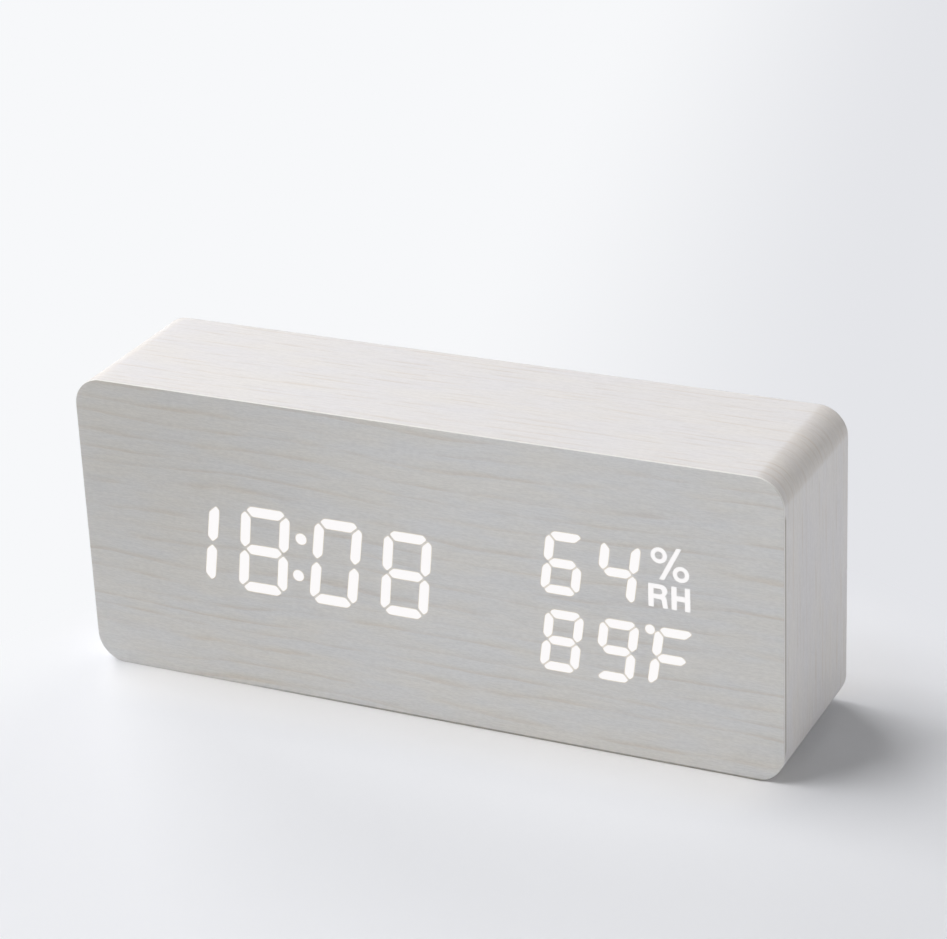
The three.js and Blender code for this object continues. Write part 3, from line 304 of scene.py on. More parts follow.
def rounded_outline(length, height, radius, centre, edge_steps=EDGE_STEPS, corner_steps=CORNER_STEPS):
    """A rounded rectangle seen from the front, anticlockwise from the middle of its foot. A straight
    stretch is an even walk, and a corner is centre plus radius times (cosine, sine). Gives the
    points, the outward directions and the distance walked."""
    straight_x, straight_z = length / 2 - radius, height / 2 - radius
    share = np.linspace(0, 1, edge_steps, endpoint=False)
    sweep = np.linspace(0, 1, corner_steps, endpoint=False)
    points, normals = [], []
    for number, corner in enumerate([(1, -1), (1, 1), (-1, 1), (-1, -1)]):
        facing = (number - 1) * QUARTER_TURN
        ahead = np.array([-math.sin(facing), math.cos(facing)])
        outward = np.array([math.cos(facing), math.sin(facing)])
        pivot = np.array([corner[0] * straight_x, corner[1] * straight_z])
        run = 2 * (straight_x if number % 2 == 0 else straight_z)
        walked = 0.5 + 0.5 * share if number == 0 else share
        angle = facing + sweep * QUARTER_TURN
        around = np.column_stack([np.cos(angle), np.sin(angle)])
        points += [pivot + radius * outward + ahead * run * (walked[:, None] - 1), pivot + radius * around]
        normals += [np.tile(outward, (edge_steps, 1)), around]
    points.append(np.array([-straight_x, -straight_z - radius]) + np.outer(share, [straight_x, 0.0]))
    normals.append(np.tile([0.0, -1.0], (edge_steps, 1)))
    points = np.concatenate(points)
    steps = np.linalg.norm(np.roll(points, -1, 0) - points, axis=1)
    walked = np.concatenate([[0.0], np.cumsum(steps)])
    return points + np.array(centre), np.concatenate(normals), walked


def round_outline(radius, centre, steps):
    """A circle about a centre as points, outward directions and the distance walked."""
    angle = np.linspace(0, TURN, steps, endpoint=False)
    around = np.column_stack([np.cos(angle), np.sin(angle)])
    return np.array(centre) + radius * around, around, np.linspace(0, TURN * radius, steps + 1)


def carried(profile, outline):
    """The grid of a profile of (outward, depth) pairs carried round an outline: each point moves
    outwards along the outline's own direction, and to the profile's depth."""
    profile = np.asarray(profile, float)
    points, normals, _ = outline
    flat = points[None] + profile[:, None, :1] * normals[None]
    depth = np.broadcast_to(profile[:, None, 1], flat.shape[:2])
    return np.stack([flat[..., 0], depth, flat[..., 1]], axis=-1)


def turned(profile, centre, steps):
    """A profile of (radius, depth) pairs turned about a line along Y through the centre."""
    return carried(profile, round_outline(0.0, centre, steps))


def arc(centre, radii, start, end, steps):
    """Points of an arc: centre plus radii times (cosine, sine), between two angles in degrees."""
    angle = np.radians(np.linspace(start, end, steps))
    return np.column_stack([centre[0] + radii[0] * np.cos(angle), centre[1] + radii[1] * np.sin(angle)])


def fillet(centre, radius, start, end, steps=5):
    """A rounded edge in a profile: an arc of one radius."""
    return arc(centre, (radius, radius), start, end, steps)


def grid_faces(rows, columns, ends="capped"):
    """Quads between neighbouring rows and columns of a grid, as arrays of vertex numbers. Joined
    ends close the rows, and an open grid closes neither rows nor columns."""
    row = np.arange(rows if ends == "joined" else rows - 1)
    column = np.arange(columns - 1 if ends == "open" else columns)
    here, across = np.meshgrid(row, column, indexing="ij")
    below, beside = (here + 1) % rows, (across + 1) % columns
    corners = [(here, across), (here, beside), (below, beside), (below, across)]
    return np.stack([r * columns + c for r, c in corners], axis=-1).reshape(-1, 4)


print("an outline has", 4 * (EDGE_STEPS + CORNER_STEPS) + EDGE_STEPS, "points")

# %% From a grid to a piece
SMOOTH_ANGLE = math.radians(35)


def merged(mesh, distance, work):
    """Merges a mesh's doubled points, and does some more work on it while it is open."""
    shaped = bmesh.new()
    shaped.from_mesh(mesh)
    bmesh.ops.remove_doubles(shaped, verts=shaped.verts, dist=distance)
    work(shaped)
    shaped.to_mesh(mesh)
    shaped.free()
    mesh.shade_smooth()
    mesh.materials.clear()


def finish_mesh(mesh, *materials):
    """Merges doubled points, points the faces outwards, and shades smooth but for sharp edges."""
    merged(mesh, 1e-7, lambda shaped: bmesh.ops.recalc_face_normals(shaped, faces=shaped.faces))
    mesh.set_sharp_from_angle(angle=SMOOTH_ANGLE)
    for one in materials:
        mesh.materials.append(one)
    return mesh


def grid_mesh(name, grid, *materials, ends="capped", uv=None):
    """A mesh from a grid in millimetres whose columns close on themselves. Its ends are capped flat,
    joined to each other or left open. The map has one point per corner of each quad, and a cap's
    corners take the map's origin."""
    rows, columns = grid.shape[:2]
    faces = grid_faces(rows, columns, ends).tolist()
    if ends == "capped":
        faces.append(list(range(columns))[::-1])
        faces.append(list(range((rows - 1) * columns, rows * columns)))
    mesh = bpy.data.meshes.new(name)
    mesh.from_pydata((grid * MM).reshape(-1, 3).tolist(), [], faces)
    if uv is not None:
        whole = np.concatenate([uv, np.zeros((len(mesh.loops) - len(uv), 2))])
        mesh.uv_layers.new(name="grain").data.foreach_set("uv", whole.astype(np.float32).ravel())
    return finish_mesh(mesh, *materials)


def piece(mesh, node=None, body="case"):
    """Puts a mesh in the scene as a piece that rides on a body and may stand for a CAD node."""
    made = bpy.data.objects.new(mesh.name, mesh)
    bpy.context.scene.collection.objects.link(made)
    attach(made, body)
    if node:
        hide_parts(node)
    return made


def box_mm(node):
    """Lowest and highest corner of a CAD node in millimetres."""
    low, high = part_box(node)
    return np.array(low) / MM, np.array(high) / MM


print("edges over", round(math.degrees(SMOOTH_ANGLE)), "degrees stay sharp")

# %% [markdown]
# ## The front sheet
# The sheet is a flat slice of veneer with its edge just broken by sandpaper. It lies a hair behind
# the part's front plane, so that the lit strokes can lie on it and still stay inside the part. An
# extra ring just inside the edge keeps the broad face's shading flat.

# %% Front sheet
sheet_low, sheet_high = box_mm("front_veneer")
CASE_RADIUS = 6.0
SHEET_RECESS = 0.02
SHEET_EDGE = 0.14
FLAT_RING = 0.9
case_length, case_height = sheet_high[0] - sheet_low[0], sheet_high[2] - sheet_low[2]
case_middle = (0.0, (sheet_low[2] + sheet_high[2]) / 2)
sheet_front, sheet_back = sheet_low[1] + SHEET_RECESS, sheet_high[1]
case_outline = rounded_outline(case_length, case_height, CASE_RADIUS, case_middle)
sheet_profile = np.concatenate([
    [(-FLAT_RING, sheet_front)],
    fillet((-SHEET_EDGE, sheet_front + SHEET_EDGE), SHEET_EDGE, -90, 0),
    fillet((-SHEET_EDGE / 2, sheet_back - SHEET_EDGE / 2), SHEET_EDGE / 2, 0, 90, 3),
    [(-FLAT_RING, sheet_back)],
])
sheet_grid = carried(sheet_profile, case_outline)
piece(grid_mesh("front_sheet", sheet_grid, front_finish), "front_veneer")
print("front sheet", round(case_length, 1), "x", round(case_height, 1), "mm")

# %% [markdown]
# ## The band round the case
# One strip of veneer runs round the top, the sides and the base, so its grain follows the corners.
# The mesh carries its own map for that: the first number is the distance walked round the case and
# the second the distance from the front. Along both upright sides the strip stops just short of the
# front sheet, and the glue line shows as a thin dark seam, which a narrow groove in the mesh gives.

# %% The band's own grain


def grain_point(tree):
    """The piece's own map: millimetres walked round it, and millimetres along it."""
    return add(tree, "UVMap", uv_map="grain")


WRAP_LOOK = {
    "long_wave": (70.0, 20.0), "long_reach": 4.0, "short_wave": (16.0, 4.0), "short_reach": 0.5,
    "spacing_wave": (120.0, 5.0), "spacing_reach": 3.0, "spacing": 1.9,
    "onset_share": 0.1, "tail_share": 0.35, "halo_share": 0.7,
    "fade_wave": (16.0, 2.4), "fade": (0.42, 0.7), "fade_floor": 0.0,
    "streak": (5.0, 0.5), "fibre": (1.2, 0.3), "cloud": (24.0, 8.0), "relief": 0.016, "roughness": 0.56,
    "cool": "eae8e8", "warm": "ece9e6", "streak_tint": "fafafa", "fibre_tint": "fafafa",
    "halo": "fdfcfa", "ring": "f7f4f1",
}
wrap_finish, wrap_tree, wrap_shader, wrap_colour = stained_veneer(
    "white_stained_veneer_wrap", grain_point, WRAP_LOOK,
)
wrap_low, wrap_high = box_mm("wrap_veneer")
wrap_front, wrap_back = wrap_low[1], wrap_high[1]
print("band veneer: growth lines about", WRAP_LOOK["spacing"], "mm apart")

# %% [markdown]
# Both upper bends are painted a little darker from where they start to where they end: painted
# shade where the corners turn from the light. Along both sides the glue line is brown, with
# painted shade in its seam.

# %% Painted shade on the bends, and the glue line with painted shade
# Painted shade darkens both upper bends.
BEND_FADE, BEND_SHADE_TINT = 1.2, "faf8f5"
# The brown glue line, with painted shade where the seam lies in shadow.
GLUE_AND_SHADE_REACH, GLUE_AND_SHADE_TINT = (0.6, 0.05), "d6d1ca"
SEAM_FADE, SEAM_ENDS = 1.2, (5.6, 56.0)
wrap_place = millimetres(wrap_tree)
wrap_x, wrap_z = (add(wrap_tree, "SeparateXYZ", (wrap_place,), axis) for axis in ("X", "Z"))
wrap_x = add(wrap_tree, "Math", (wrap_x,), operation="ABSOLUTE")
bend_x, bend_z = case_length / 2 - CASE_RADIUS, wrap_high[2] - CASE_RADIUS
# The bends' painted shade.
past_x = add(wrap_tree, "MapRange", (wrap_x, bend_x, bend_x + BEND_FADE), **SMOOTH)
past_z = add(wrap_tree, "MapRange", (wrap_z, bend_z, bend_z + BEND_FADE), **SMOOTH)
bend_shade_share = add(wrap_tree, "Math", (past_x, past_z), operation="MULTIPLY")
bend_shaded = add(wrap_tree, "Mix", {0: bend_shade_share, 6: wrap_colour, 7: linear(BEND_SHADE_TINT)}, **TINT)
# The glue line and the seam's painted shade, on both upright sides only.
from_front = add(wrap_tree, "SeparateXYZ", (grain_point(wrap_tree),), "Y")
seam_shade_share = add(wrap_tree, "MapRange", (from_front, *GLUE_AND_SHADE_REACH), **SMOOTH)
for end, inwards in zip(SEAM_ENDS, (SEAM_FADE, -SEAM_FADE)):
    within = add(wrap_tree, "MapRange", (wrap_z, end, end + inwards))
    seam_shade_share = add(wrap_tree, "Math", (seam_shade_share, within), operation="MULTIPLY")
glued_and_shaded = add(wrap_tree, "Mix", {0: seam_shade_share, 6: bend_shaded, 7: linear(GLUE_AND_SHADE_TINT)}, **TINT)
feed(wrap_shader, Base_Color=glued_and_shaded)
print("glue line from", SEAM_ENDS[0], "to", SEAM_ENDS[1], "mm up")

# %% Band with its seam
WRAP_THICKNESS = 0.5
WRAP_EDGE = 0.12
WRAP_ROWS = (0.8, 4.0, 12.0, 24.0, 34.0)
SEAM_WIDTH, SEAM_DEPTH = 0.34, 0.3


def seam_window(outline):
    """How open the seam is along the outline: one on both upright sides between its ends, easing
    to nothing over the fade, and zero elsewhere."""
    points, normals, _ = outline
    upright = np.abs(normals[:, 0]) > 0.999
    rise = np.clip((points[:, 1] - SEAM_ENDS[0]) / SEAM_FADE, 0, 1)
    fall = np.clip((SEAM_ENDS[1] - points[:, 1]) / SEAM_FADE, 0, 1)
    return np.where(upright, np.minimum(rise, fall), 0.0)


def walked_uv(rows_walk, columns_walk, ends="capped"):
    """Each face corner's map point: the distance walked round the piece and along it. It is written
    per corner, so that the last face ends at the full length and not at zero."""
    rows = len(rows_walk)
    row = np.arange(rows if ends == "joined" else rows - 1)
    column = np.arange(len(columns_walk) - 1)
    here, across = np.meshgrid(row, column, indexing="ij")
    below = np.minimum(here + 1, rows - 1)
    across_walk = rows_walk[np.stack([here, here, below, below], -1)]
    along_walk = columns_walk[np.stack([across, across + 1, across + 1, across], -1)]
    return np.stack([along_walk, across_walk], axis=-1).reshape(-1, 2)


wrap_profile = np.concatenate([
    [(-WRAP_THICKNESS, wrap_front), (-SEAM_DEPTH, wrap_front), (0.0, wrap_front)],
    [(0.0, wrap_front + depth) for depth in WRAP_ROWS],
    fillet((-WRAP_EDGE, wrap_back - WRAP_EDGE), WRAP_EDGE, 0, 90, 4),
    [(-WRAP_THICKNESS, wrap_back)],
])
wrap_grid = carried(wrap_profile, case_outline)
wrap_grid[2, :, 1] += seam_window(case_outline) * SEAM_WIDTH
wrap_walk = np.concatenate([[0.0], np.cumsum(np.linalg.norm(np.diff(wrap_profile, axis=0), axis=1))])
wrap_uv = walked_uv(wrap_walk - wrap_walk[2], case_outline[2], "joined")
wrap_mesh = grid_mesh("wrap_band", wrap_grid, wrap_finish, ends="joined", uv=wrap_uv)
piece(wrap_mesh, "wrap_veneer")
print("band", round(case_outline[2][-1], 1), "mm round")

# %% [markdown]
# ## Lit strokes
# Each lamp fills one well behind the front, so a stroke shows as an even white shape with a crisp
# edge and a thin warm rim where the light leaks into the wood. A numeral is drawn from one stroke
# of a seven-stroke pattern and its mirror images. The outlines are filled flat curves, which copes
# with the holes in the percent sign and the letter, and they become thin meshes on the sheet.

# %% Numeral outlines
SLANT = 0.14
STROKE_SOFTNESS = 0.32
DOT_STEPS = 32
TIME_NUMERAL = {"width": 10.4, "height": 18.8, "stroke": 2.1, "gap": 0.5, "chamfer": 1.6}
SIDE_NUMERAL = {"width": 8.0, "height": 13.15, "stroke": 1.8, "gap": 0.35, "chamfer": 1.25}
LIT_STROKES = {
    "0": "abcdef", "1": "bc", "4": "bcfg", "6": "acdefg", "8": "abcdefg", "9": "abcdfg", "F": "aefg",
}
# Each numeral's sign, place, common sizes and what sets it apart from its neighbours.
NUMERALS = (
    ("1", (-49.98, 31.04), TIME_NUMERAL, {"stroke": 2.2}),
    ("8", (-34.17, 31.04), TIME_NUMERAL, {"width": 10.8, "slant": 0.112}),
    ("0", (-18.2, 31.04), TIME_NUMERAL, {}),
    ("8", (-2.87, 31.04), TIME_NUMERAL, {"width": 10.25, "height": 18.3, "stroke": 2.0, "slant": 0.112}),
    ("6", (30.59, 39.06), SIDE_NUMERAL, {}), ("4", (41.89, 39.06), SIDE_NUMERAL, {"height": 13.5}),
    ("8", (29.93, 22.5), SIDE_NUMERAL, {}), ("9", (41.25, 22.5), SIDE_NUMERAL, {}),
    ("F", (52.51, 22.56), SIDE_NUMERAL, {"width": 8.2, "slant": 0.155}),
)
# The colon's two dots lean with the numerals, and the degree sign is a smaller dot.
COLON_SPREAD = 8.16
DOTS = (
    (1.19, (-26.19 + SLANT * COLON_SPREAD / 2, 31.04 + COLON_SPREAD / 2)),
    (1.19, (-26.19 - SLANT * COLON_SPREAD / 2, 31.04 - COLON_SPREAD / 2)),
    (0.97, (48.23, 28.3)),
)


def stroke_shapes(width, height, stroke, gap, chamfer):
    """The seven strokes about the numeral's middle, by letter. The top, the middle and the upper
    left stroke are drawn, and the others are their mirror images."""
    part = gap / math.sqrt(2)
    side, top = width / 2, height / 2
    upper = np.array([
        (-side + chamfer + part, top), (-side + chamfer / 2 + part, top - chamfer / 2),
        (-side + stroke + part, top - stroke), (side - stroke - part, top - stroke),
        (side - chamfer / 2 - part, top - chamfer / 2), (side - chamfer - part, top),
    ])
    centre = np.array([
        (-side + stroke / 2 + part, 0), (-side + stroke + part, -stroke / 2),
        (side - stroke - part, -stroke / 2), (side - stroke / 2 - part, 0),
        (side - stroke - part, stroke / 2), (-side + stroke + part, stroke / 2),
    ])
    left = np.array([
        (-side, top - chamfer - part), (-side, stroke / 2 + part), (-side + stroke / 2, part),
        (-side + stroke, stroke / 2 + part), (-side + stroke, top - stroke - part),
        (-side + chamfer / 2, top - chamfer / 2 - part),
    ])
    flip_x, flip_z = np.array([-1, 1]), np.array([1, -1])
    return {
        "a": upper, "g": centre, "d": (upper * flip_z)[::-1], "f": left, "b": (left * flip_x)[::-1],
        "e": (left * flip_z)[::-1], "c": left * flip_x * flip_z,
    }


def softened(corners, radius, steps=4):
    """A polygon with its corners rounded: each corner becomes a short curve that leaves and meets
    its two sides at the given distance, the blend (1-t)^2 A + 2t(1-t) C + t^2 B."""
    before, after = np.roll(corners, 1, 0) - corners, np.roll(corners, -1, 0) - corners
    reach_before = np.minimum(radius / np.linalg.norm(before, axis=1), 0.45)[:, None]
    reach_after = np.minimum(radius / np.linalg.norm(after, axis=1), 0.45)[:, None]
    start, end = corners + before * reach_before, corners + after * reach_after
    t = np.linspace(0, 1, steps)[None, :, None]
    curve = (1 - t) ** 2 * start[:, None] + 2 * t * (1 - t) * corners[:, None] + t ** 2 * end[:, None]
    return curve.reshape(-1, 2)


def grown(outline, reach):
    """An anticlockwise or clockwise outline moved outwards by a reach, along each point's normal."""
    ahead = np.roll(outline, -1, 0) - np.roll(outline, 1, 0)
    normal = np.column_stack([ahead[:, 1], -ahead[:, 0]])
    normal /= np.linalg.norm(normal, axis=1, keepdims=True)
    x, z = outline.T
    turning = np.sign(np.sum(x * np.roll(z, -1) - z * np.roll(x, -1)))
    return outline + turning * reach * normal


def numeral(letter, place, sizes, changes):
    """The lit strokes of one numeral, slanted by moving each point across by its height's share."""
    own = {**sizes, "slant": SLANT, **changes}
    lean = np.array([[1.0, 0.0], [own.pop("slant"), 1.0]])
    shapes = stroke_shapes(**own)
    return [softened(shapes[stroke], STROKE_SOFTNESS) @ lean + place for stroke in LIT_STROKES[letter]]


strokes = [stroke for row in NUMERALS for stroke in numeral(*row)]
strokes += [round_outline(radius, place, DOT_STEPS)[0] for radius, place in DOTS]
print("lit strokes and dots", len(strokes))

# %% [markdown]
# ## Percent sign and letters
# A percent sign is two rings and a slash, and a ring is a disc's outline with a hole's inside it.
# The two letters are drawn like a sign writer's: straight stems of one width, and a round bowl from
# half an ellipse.

# %% Percent sign and letters
PERCENT = {"rings": ((50.29, 44.1), (54.69, 40.77)), "outer": 1.64, "inner": 0.8}
SLASH = {"top": (54.32, 46.02), "foot": (50.78, 39.16), "width": 1.02}
LETTER_HEIGHT, LETTER_STROKE = 4.84, 1.06
R_PLACE, H_PLACE, H_WIDTH, H_BAR_SHARES = (48.03, 33.23), (52.7, 33.23), 3.75, (0.4, 0.62)


def letter_r(height, stroke):
    """The outline of an R and of the hole in its bowl. The bowl is most of a half ellipse, which
    passes into an upright, slightly bowed leg."""
    outer = np.concatenate([
        [(0, 0), (0, height)], arc((2.55, 3.6), (1.3, height - 3.6), 90.0, -52.0, 14),
        [(3.5, 2.3), (3.7, 1.75), (3.8, 0.9), (3.98, 0), (2.94, 0), (2.8, 0.95), (2.68, 1.5)],
        [(2.5, 1.74), (stroke, 1.78), (stroke, 0)],
    ])
    hole = np.concatenate([
        [(stroke, 2.76), (stroke, 3.92)], arc((2.3, 3.34), (0.55, 0.58), 90.0, -90.0, 14),
    ])
    return [outer, hole]


def letter_h(width, height, stroke):
    """The outline of an H: two posts and a bar across their middle."""
    bar_foot, bar_top = (share * height for share in H_BAR_SHARES)
    return [np.array([
        (0, 0), (0, height), (stroke, height), (stroke, bar_top), (width - stroke, bar_top),
        (width - stroke, height), (width, height), (width, 0), (width - stroke, 0),
        (width - stroke, bar_foot), (stroke, bar_foot), (stroke, 0),
    ])]


signs = [
    round_outline(PERCENT[edge], place, 2 * DOT_STEPS)[0]
    for place in PERCENT["rings"] for edge in ("outer", "inner")
]
half = np.array([SLASH["width"] / 2, 0.0])
signs.append(np.array([
    SLASH["foot"] - half, SLASH["foot"] + half, SLASH["top"] + half, SLASH["top"] - half,
]))
signs += [shape + R_PLACE for shape in letter_r(LETTER_HEIGHT, LETTER_STROKE)]
signs += [shape + H_PLACE for shape in letter_h(H_WIDTH, LETTER_HEIGHT, LETTER_STROKE)]
print("sign outlines", len(signs))

# %% Flat shapes on a face of the case


def flat_mesh(name, outlines, front, back, material, bevel=0.0):
    """Fills closed outlines, holes included, and gives them a thickness from one depth to another.
    The flat curve is made a mesh first, then laid upright by swapping its height and its depth."""
    curve = bpy.data.curves.new(name, "CURVE")
    curve.dimensions = "2D"
    curve.fill_mode = "BOTH"
    curve.extrude = (back - front) / 2 * MM - bevel * MM
    curve.bevel_depth = bevel * MM
    curve.offset = -bevel * MM
    for outline in outlines:
        spline = curve.splines.new("POLY")
        spline.points.add(len(outline) - 1)
        flat = np.column_stack([outline * MM, np.zeros(len(outline)), np.ones(len(outline))])
        spline.points.foreach_set("co", flat.ravel())
        spline.use_cyclic_u = True
    holder = bpy.data.objects.new(name, curve)
    bpy.context.scene.collection.objects.link(holder)
    shown = holder.evaluated_get(bpy.context.evaluated_depsgraph_get())
    mesh = bpy.data.meshes.new_from_object(shown)
    mesh.name = name
    bpy.data.objects.remove(holder)
    bpy.data.curves.remove(curve)
    flat = np.empty(len(mesh.vertices) * 3)
    mesh.vertices.foreach_get("co", flat)
    flat = flat.reshape(-1, 3)
    upright = np.column_stack([flat[:, 0], (front + back) / 2 * MM - flat[:, 2], flat[:, 1]])
    mesh.vertices.foreach_set("co", upright.ravel())
    return finish_mesh(mesh, material)


print("marks are filled from", len(strokes) + len(signs), "outlines")

# %% [markdown]
# ## Light seen through the sheet
# A lit diffuser glows evenly and has no gloss. Its strength is chosen so that it shows just below
# white. Light that leaks into the wood's edge comes out warmer and dimmer, and the rims that show
# it lie half as proud as the strokes, so that they frame them.

# %% Light seen through the sheet
lit_finish, rim_finish = (
    new_material(
        name, Base_Color=linear("0a0a0a"), Roughness=0.9, Specular_IOR_Level=0.0,
        Emission_Color=linear(glow), Emission_Strength=strength,
    )[0]
    for name, glow, strength in (
        ("lit_diffuser", "fffdfd", 0.972), ("light_leaking_into_wood", "f1e7d8", 0.9),
    )
)
RIM_REACH = 0.11
FIELD_BACK = 0.03
field_front, lit_back = sheet_low[1], sheet_front + FIELD_BACK
rims = [grown(outline, RIM_REACH) for outline in strokes]
for name, outlines, front, finish in (
    ("lit_numerals", strokes, field_front, lit_finish), ("lit_signs", signs, field_front, lit_finish),
    ("light_rims", rims, field_front + SHEET_RECESS / 2, rim_finish),
):
    piece(flat_mesh(name, outlines, front, lit_back, finish))
print("lit fields", len(strokes) + len(signs))

# %% [markdown]
# ## The moulded back
# The back panel, the battery door and the keys are injection moulded. Their moulds were eroded with
# sparks, which leaves a fine even bite in the plastic, and no moulded edge is ever truly sharp. The
# part already has the right shapes, so a copy of each has its flat faces joined up and its edges
# rounded by a quarter of a millimetre, and the bite comes from a fine noise.

# %% Moulded plastics


def toned(tree, share, low, high, first, last):
    """A colour that goes from the first to the last as the share goes from low to high."""
    part = add(tree, "MapRange", (share, low, high))
    return add(tree, "Mix", {0: part, 6: linear(first), 7: linear(last)}, **BLEND)


def moulded(name, low_tone, high_tone, roughness, bite, depth, tone_size=14.0, metallic=0.0):
    """A moulded or plated finish: two tones in clouds of the tone's size, and a grain whose size and
    height are the bite and the depth. All are in millimetres."""
    made, tree, shader = new_material(name, Roughness=roughness, Metallic=metallic)
    point = millimetres(tree)
    cloud = add(tree, "TexNoise", {"Vector": point, "Scale": 1 / tone_size, "Detail": 4.0})
    grain = add(tree, "TexNoise", {"Vector": point, "Scale": 1 / bite, "Detail": 2.0})
    uneven = add(tree, "MapRange", (grain, 0.3, 0.7, roughness * 0.88, roughness * 1.12))
    bump = add(tree, "Bump", {"Height": grain, "Strength": 1.0, "Distance": depth * MM})
    tone = toned(tree, cloud, 0.35, 0.65, low_tone, high_tone)
    feed(shader, Base_Color=tone, Roughness=uneven, Normal=bump)
    return made


FINISHES = {
    # Spark-eroded ABS is matt and slightly warm, with a bite fine enough to feel but not to count.
    "back_plastic": moulded("spark_eroded_abs", "d8d5d0", "dcd9d5", 0.52, 0.3, 0.018),
    # Keys are rubbed by fingers, so their satin is a little smoother than the panel.
    "grey_plastic": moulded("satin_moulded_grey_abs", "8b8884", "94918d", 0.42, 0.22, 0.008),
    # Glass-filled plastic round the chips is dull black with faint grey flecks.
    "black_plastic": moulded("glass_filled_black_pbt", "1a1a1c", "242427", 0.5, 0.16, 0.01, 1.2),
    # The light guide is polished and milky, so that it passes light on and doesn't leak it.
    "white_plastic": moulded("milky_moulded_polystyrene", "ececea", "f4f4f2", 0.35, 0.5, 0.006),
    "blue_plastic": moulded("moulded_blue_sensor_shell", "5480b4", "5f8cbe", 0.45, 0.3, 0.01),
    # The film is frosted on one side, which spreads each lamp's light across its well.
    "diffuser": moulded("frosted_polyester_film", "f0f0ec", "f6f6f3", 0.6, 0.12, 0.006),
    # Zinc plate is a cool, slightly cloudy grey, and nickel plate is warmer and brighter.
    "steel": moulded("zinc_plated_steel", "b0b2b4", "bdbec1", 0.32, 0.4, 0.006, 2.0, 1.0),
    "nickel": moulded("bright_nickel_plate", "c6c1b6", "d2cdc4", 0.24, 0.6, 0.004, 2.5, 1.0),
    # Cable plastics are soft and slightly shiny, and their colour is even.
    "grey_cable": moulded("ribbed_ribbon_pvc", "98989a", "a2a2a4", 0.45, 0.3, 0.01),
    "red_lead": moulded("red_wire_pvc", "a42f28", "ad362e", 0.35, 0.4, 0.01),
    "black_lead": moulded("black_wire_pvc", "202022", "28282a", 0.35, 0.4, 0.01),
    # Solder mask is a glossy green lacquer, a little darker over bare glass than over copper.
    "circuit_board": moulded("solder_mask_on_glass_board", "1c5437", "216040", 0.3, 0.5, 0.008, 5.0),
    # Sawn fibreboard is matt and brown, with its bundles of fibres just showing as short flecks.
    "fibreboard": moulded("sawn_fibreboard", "b0906b", "c0a17b", 0.9, 0.3, 0.06, 0.7),
}
print("finishes", len(FINISHES))

# %% Softened copies of the moulded pieces
SOFT_EDGE = 0.25
SOFT_ANGLE = math.radians(40)
FLAT_ANGLE = math.radians(0.5)


def softened_copy(name, node, slot, edge=SOFT_EDGE, segments=3):
    """A copy of a CAD node with its coplanar triangles joined into whole faces and its edges rounded
    by that many millimetres. It rides on the node's body and stands for it."""
    source = nodes[node]
    mesh = source.data.copy()
    mesh.name = name
    merged(mesh, 1e-6, lambda shaped: bmesh.ops.dissolve_limit(
        shaped, angle_limit=FLAT_ANGLE, verts=shaped.verts, edges=shaped.edges,
    ))
    mesh.materials.append(FINISHES[slot])
    copy = piece(mesh, node, source.parent.name.split(":")[1])
    rounding = copy.modifiers.new("rounded edges", "BEVEL")
    rounding.width, rounding.segments = edge * MM, segments
    rounding.limit_method, rounding.angle_limit = "ANGLE", SOFT_ANGLE
    copy.modifiers.new("flat faces stay flat", "WEIGHTED_NORMAL").keep_sharp = True
    return copy


softened_copy("back_panel", "rear_panel", "back_plastic")
softened_copy("bay_door", "battery_door", "back_plastic", 0.2)
print("softened the back panel and the door")

# %% [markdown]
# ## Keys
# Each key is a cap with a flange that keeps it in. A cap that a fingertip has to find is dished: its
# top is sunk by one minus the square of the distance from the middle, as a share of the way to the
# rim. The cap is one profile turned about its own axis. Under it lie the plunger and the folded
# steel body of its switch.

# %% Keys and their switches
KEY_STEPS, KEY_DISH = 64, 0.3
CAP_RADIUS, CAP_EDGE, DISH_MARGIN = 3.5, 0.4, 0.55
CAP_STRAIGHT, POST_RADIUS, KEY_BREAK = 1.5, 1.5, 0.15
FLANGE_PLACE, FLANGE_THICKNESS = 1.0, 1.0
SWITCH_EDGE = 0.12
key_centres = {}
for key in ("set", "up", "down"):
    low, high = box_mm(key + "_button")
    centre = ((low[0] + high[0]) / 2, (low[2] + high[2]) / 2)
    flange_radius, post_front, cap_back = (high[0] - low[0]) / 2, low[1], high[1]
    flange_front = post_front + FLANGE_PLACE
    flange_back = flange_front + FLANGE_THICKNESS
    dish = np.linspace(1, 0.02, 10)
    profile = np.concatenate([
        [(0.01, post_front), (POST_RADIUS - KEY_BREAK, post_front)],
        [(POST_RADIUS, post_front + KEY_BREAK), (POST_RADIUS, flange_front)],
        [(flange_radius - KEY_BREAK, flange_front), (flange_radius, flange_front + KEY_BREAK)],
        [(flange_radius, flange_back - KEY_BREAK), (flange_radius - KEY_BREAK, flange_back)],
        [(CAP_RADIUS, flange_back), (CAP_RADIUS, flange_back + CAP_STRAIGHT)],
        fillet((CAP_RADIUS - CAP_EDGE, cap_back - CAP_EDGE), CAP_EDGE, 0, 90, 7),
        np.column_stack([(CAP_RADIUS - DISH_MARGIN) * dish, cap_back - KEY_DISH * (1 - dish ** 2)]),
    ])
    cap = grid_mesh(key + "_key_cap", turned(profile, centre, KEY_STEPS), FINISHES["grey_plastic"])
    piece(cap, key + "_button", key + "_key")
    softened_copy(key + "_plunger", key + "_switch_plunger", "black_plastic", SWITCH_EDGE)
    softened_copy(key + "_switch", key + "_switch_body", "steel", SWITCH_EDGE)
    key_centres[key] = np.array(centre)
print("keys", {key: centre.round(2).tolist() for key, centre in key_centres.items()})

# %% [markdown]
# ## Marks for the fingers
# A soft pad prints one thin coat of grey ink, so the keys are told apart by a ring and two triangles
# above them. On the door a triangle and three low bars are moulded, so that a thumb finds them.

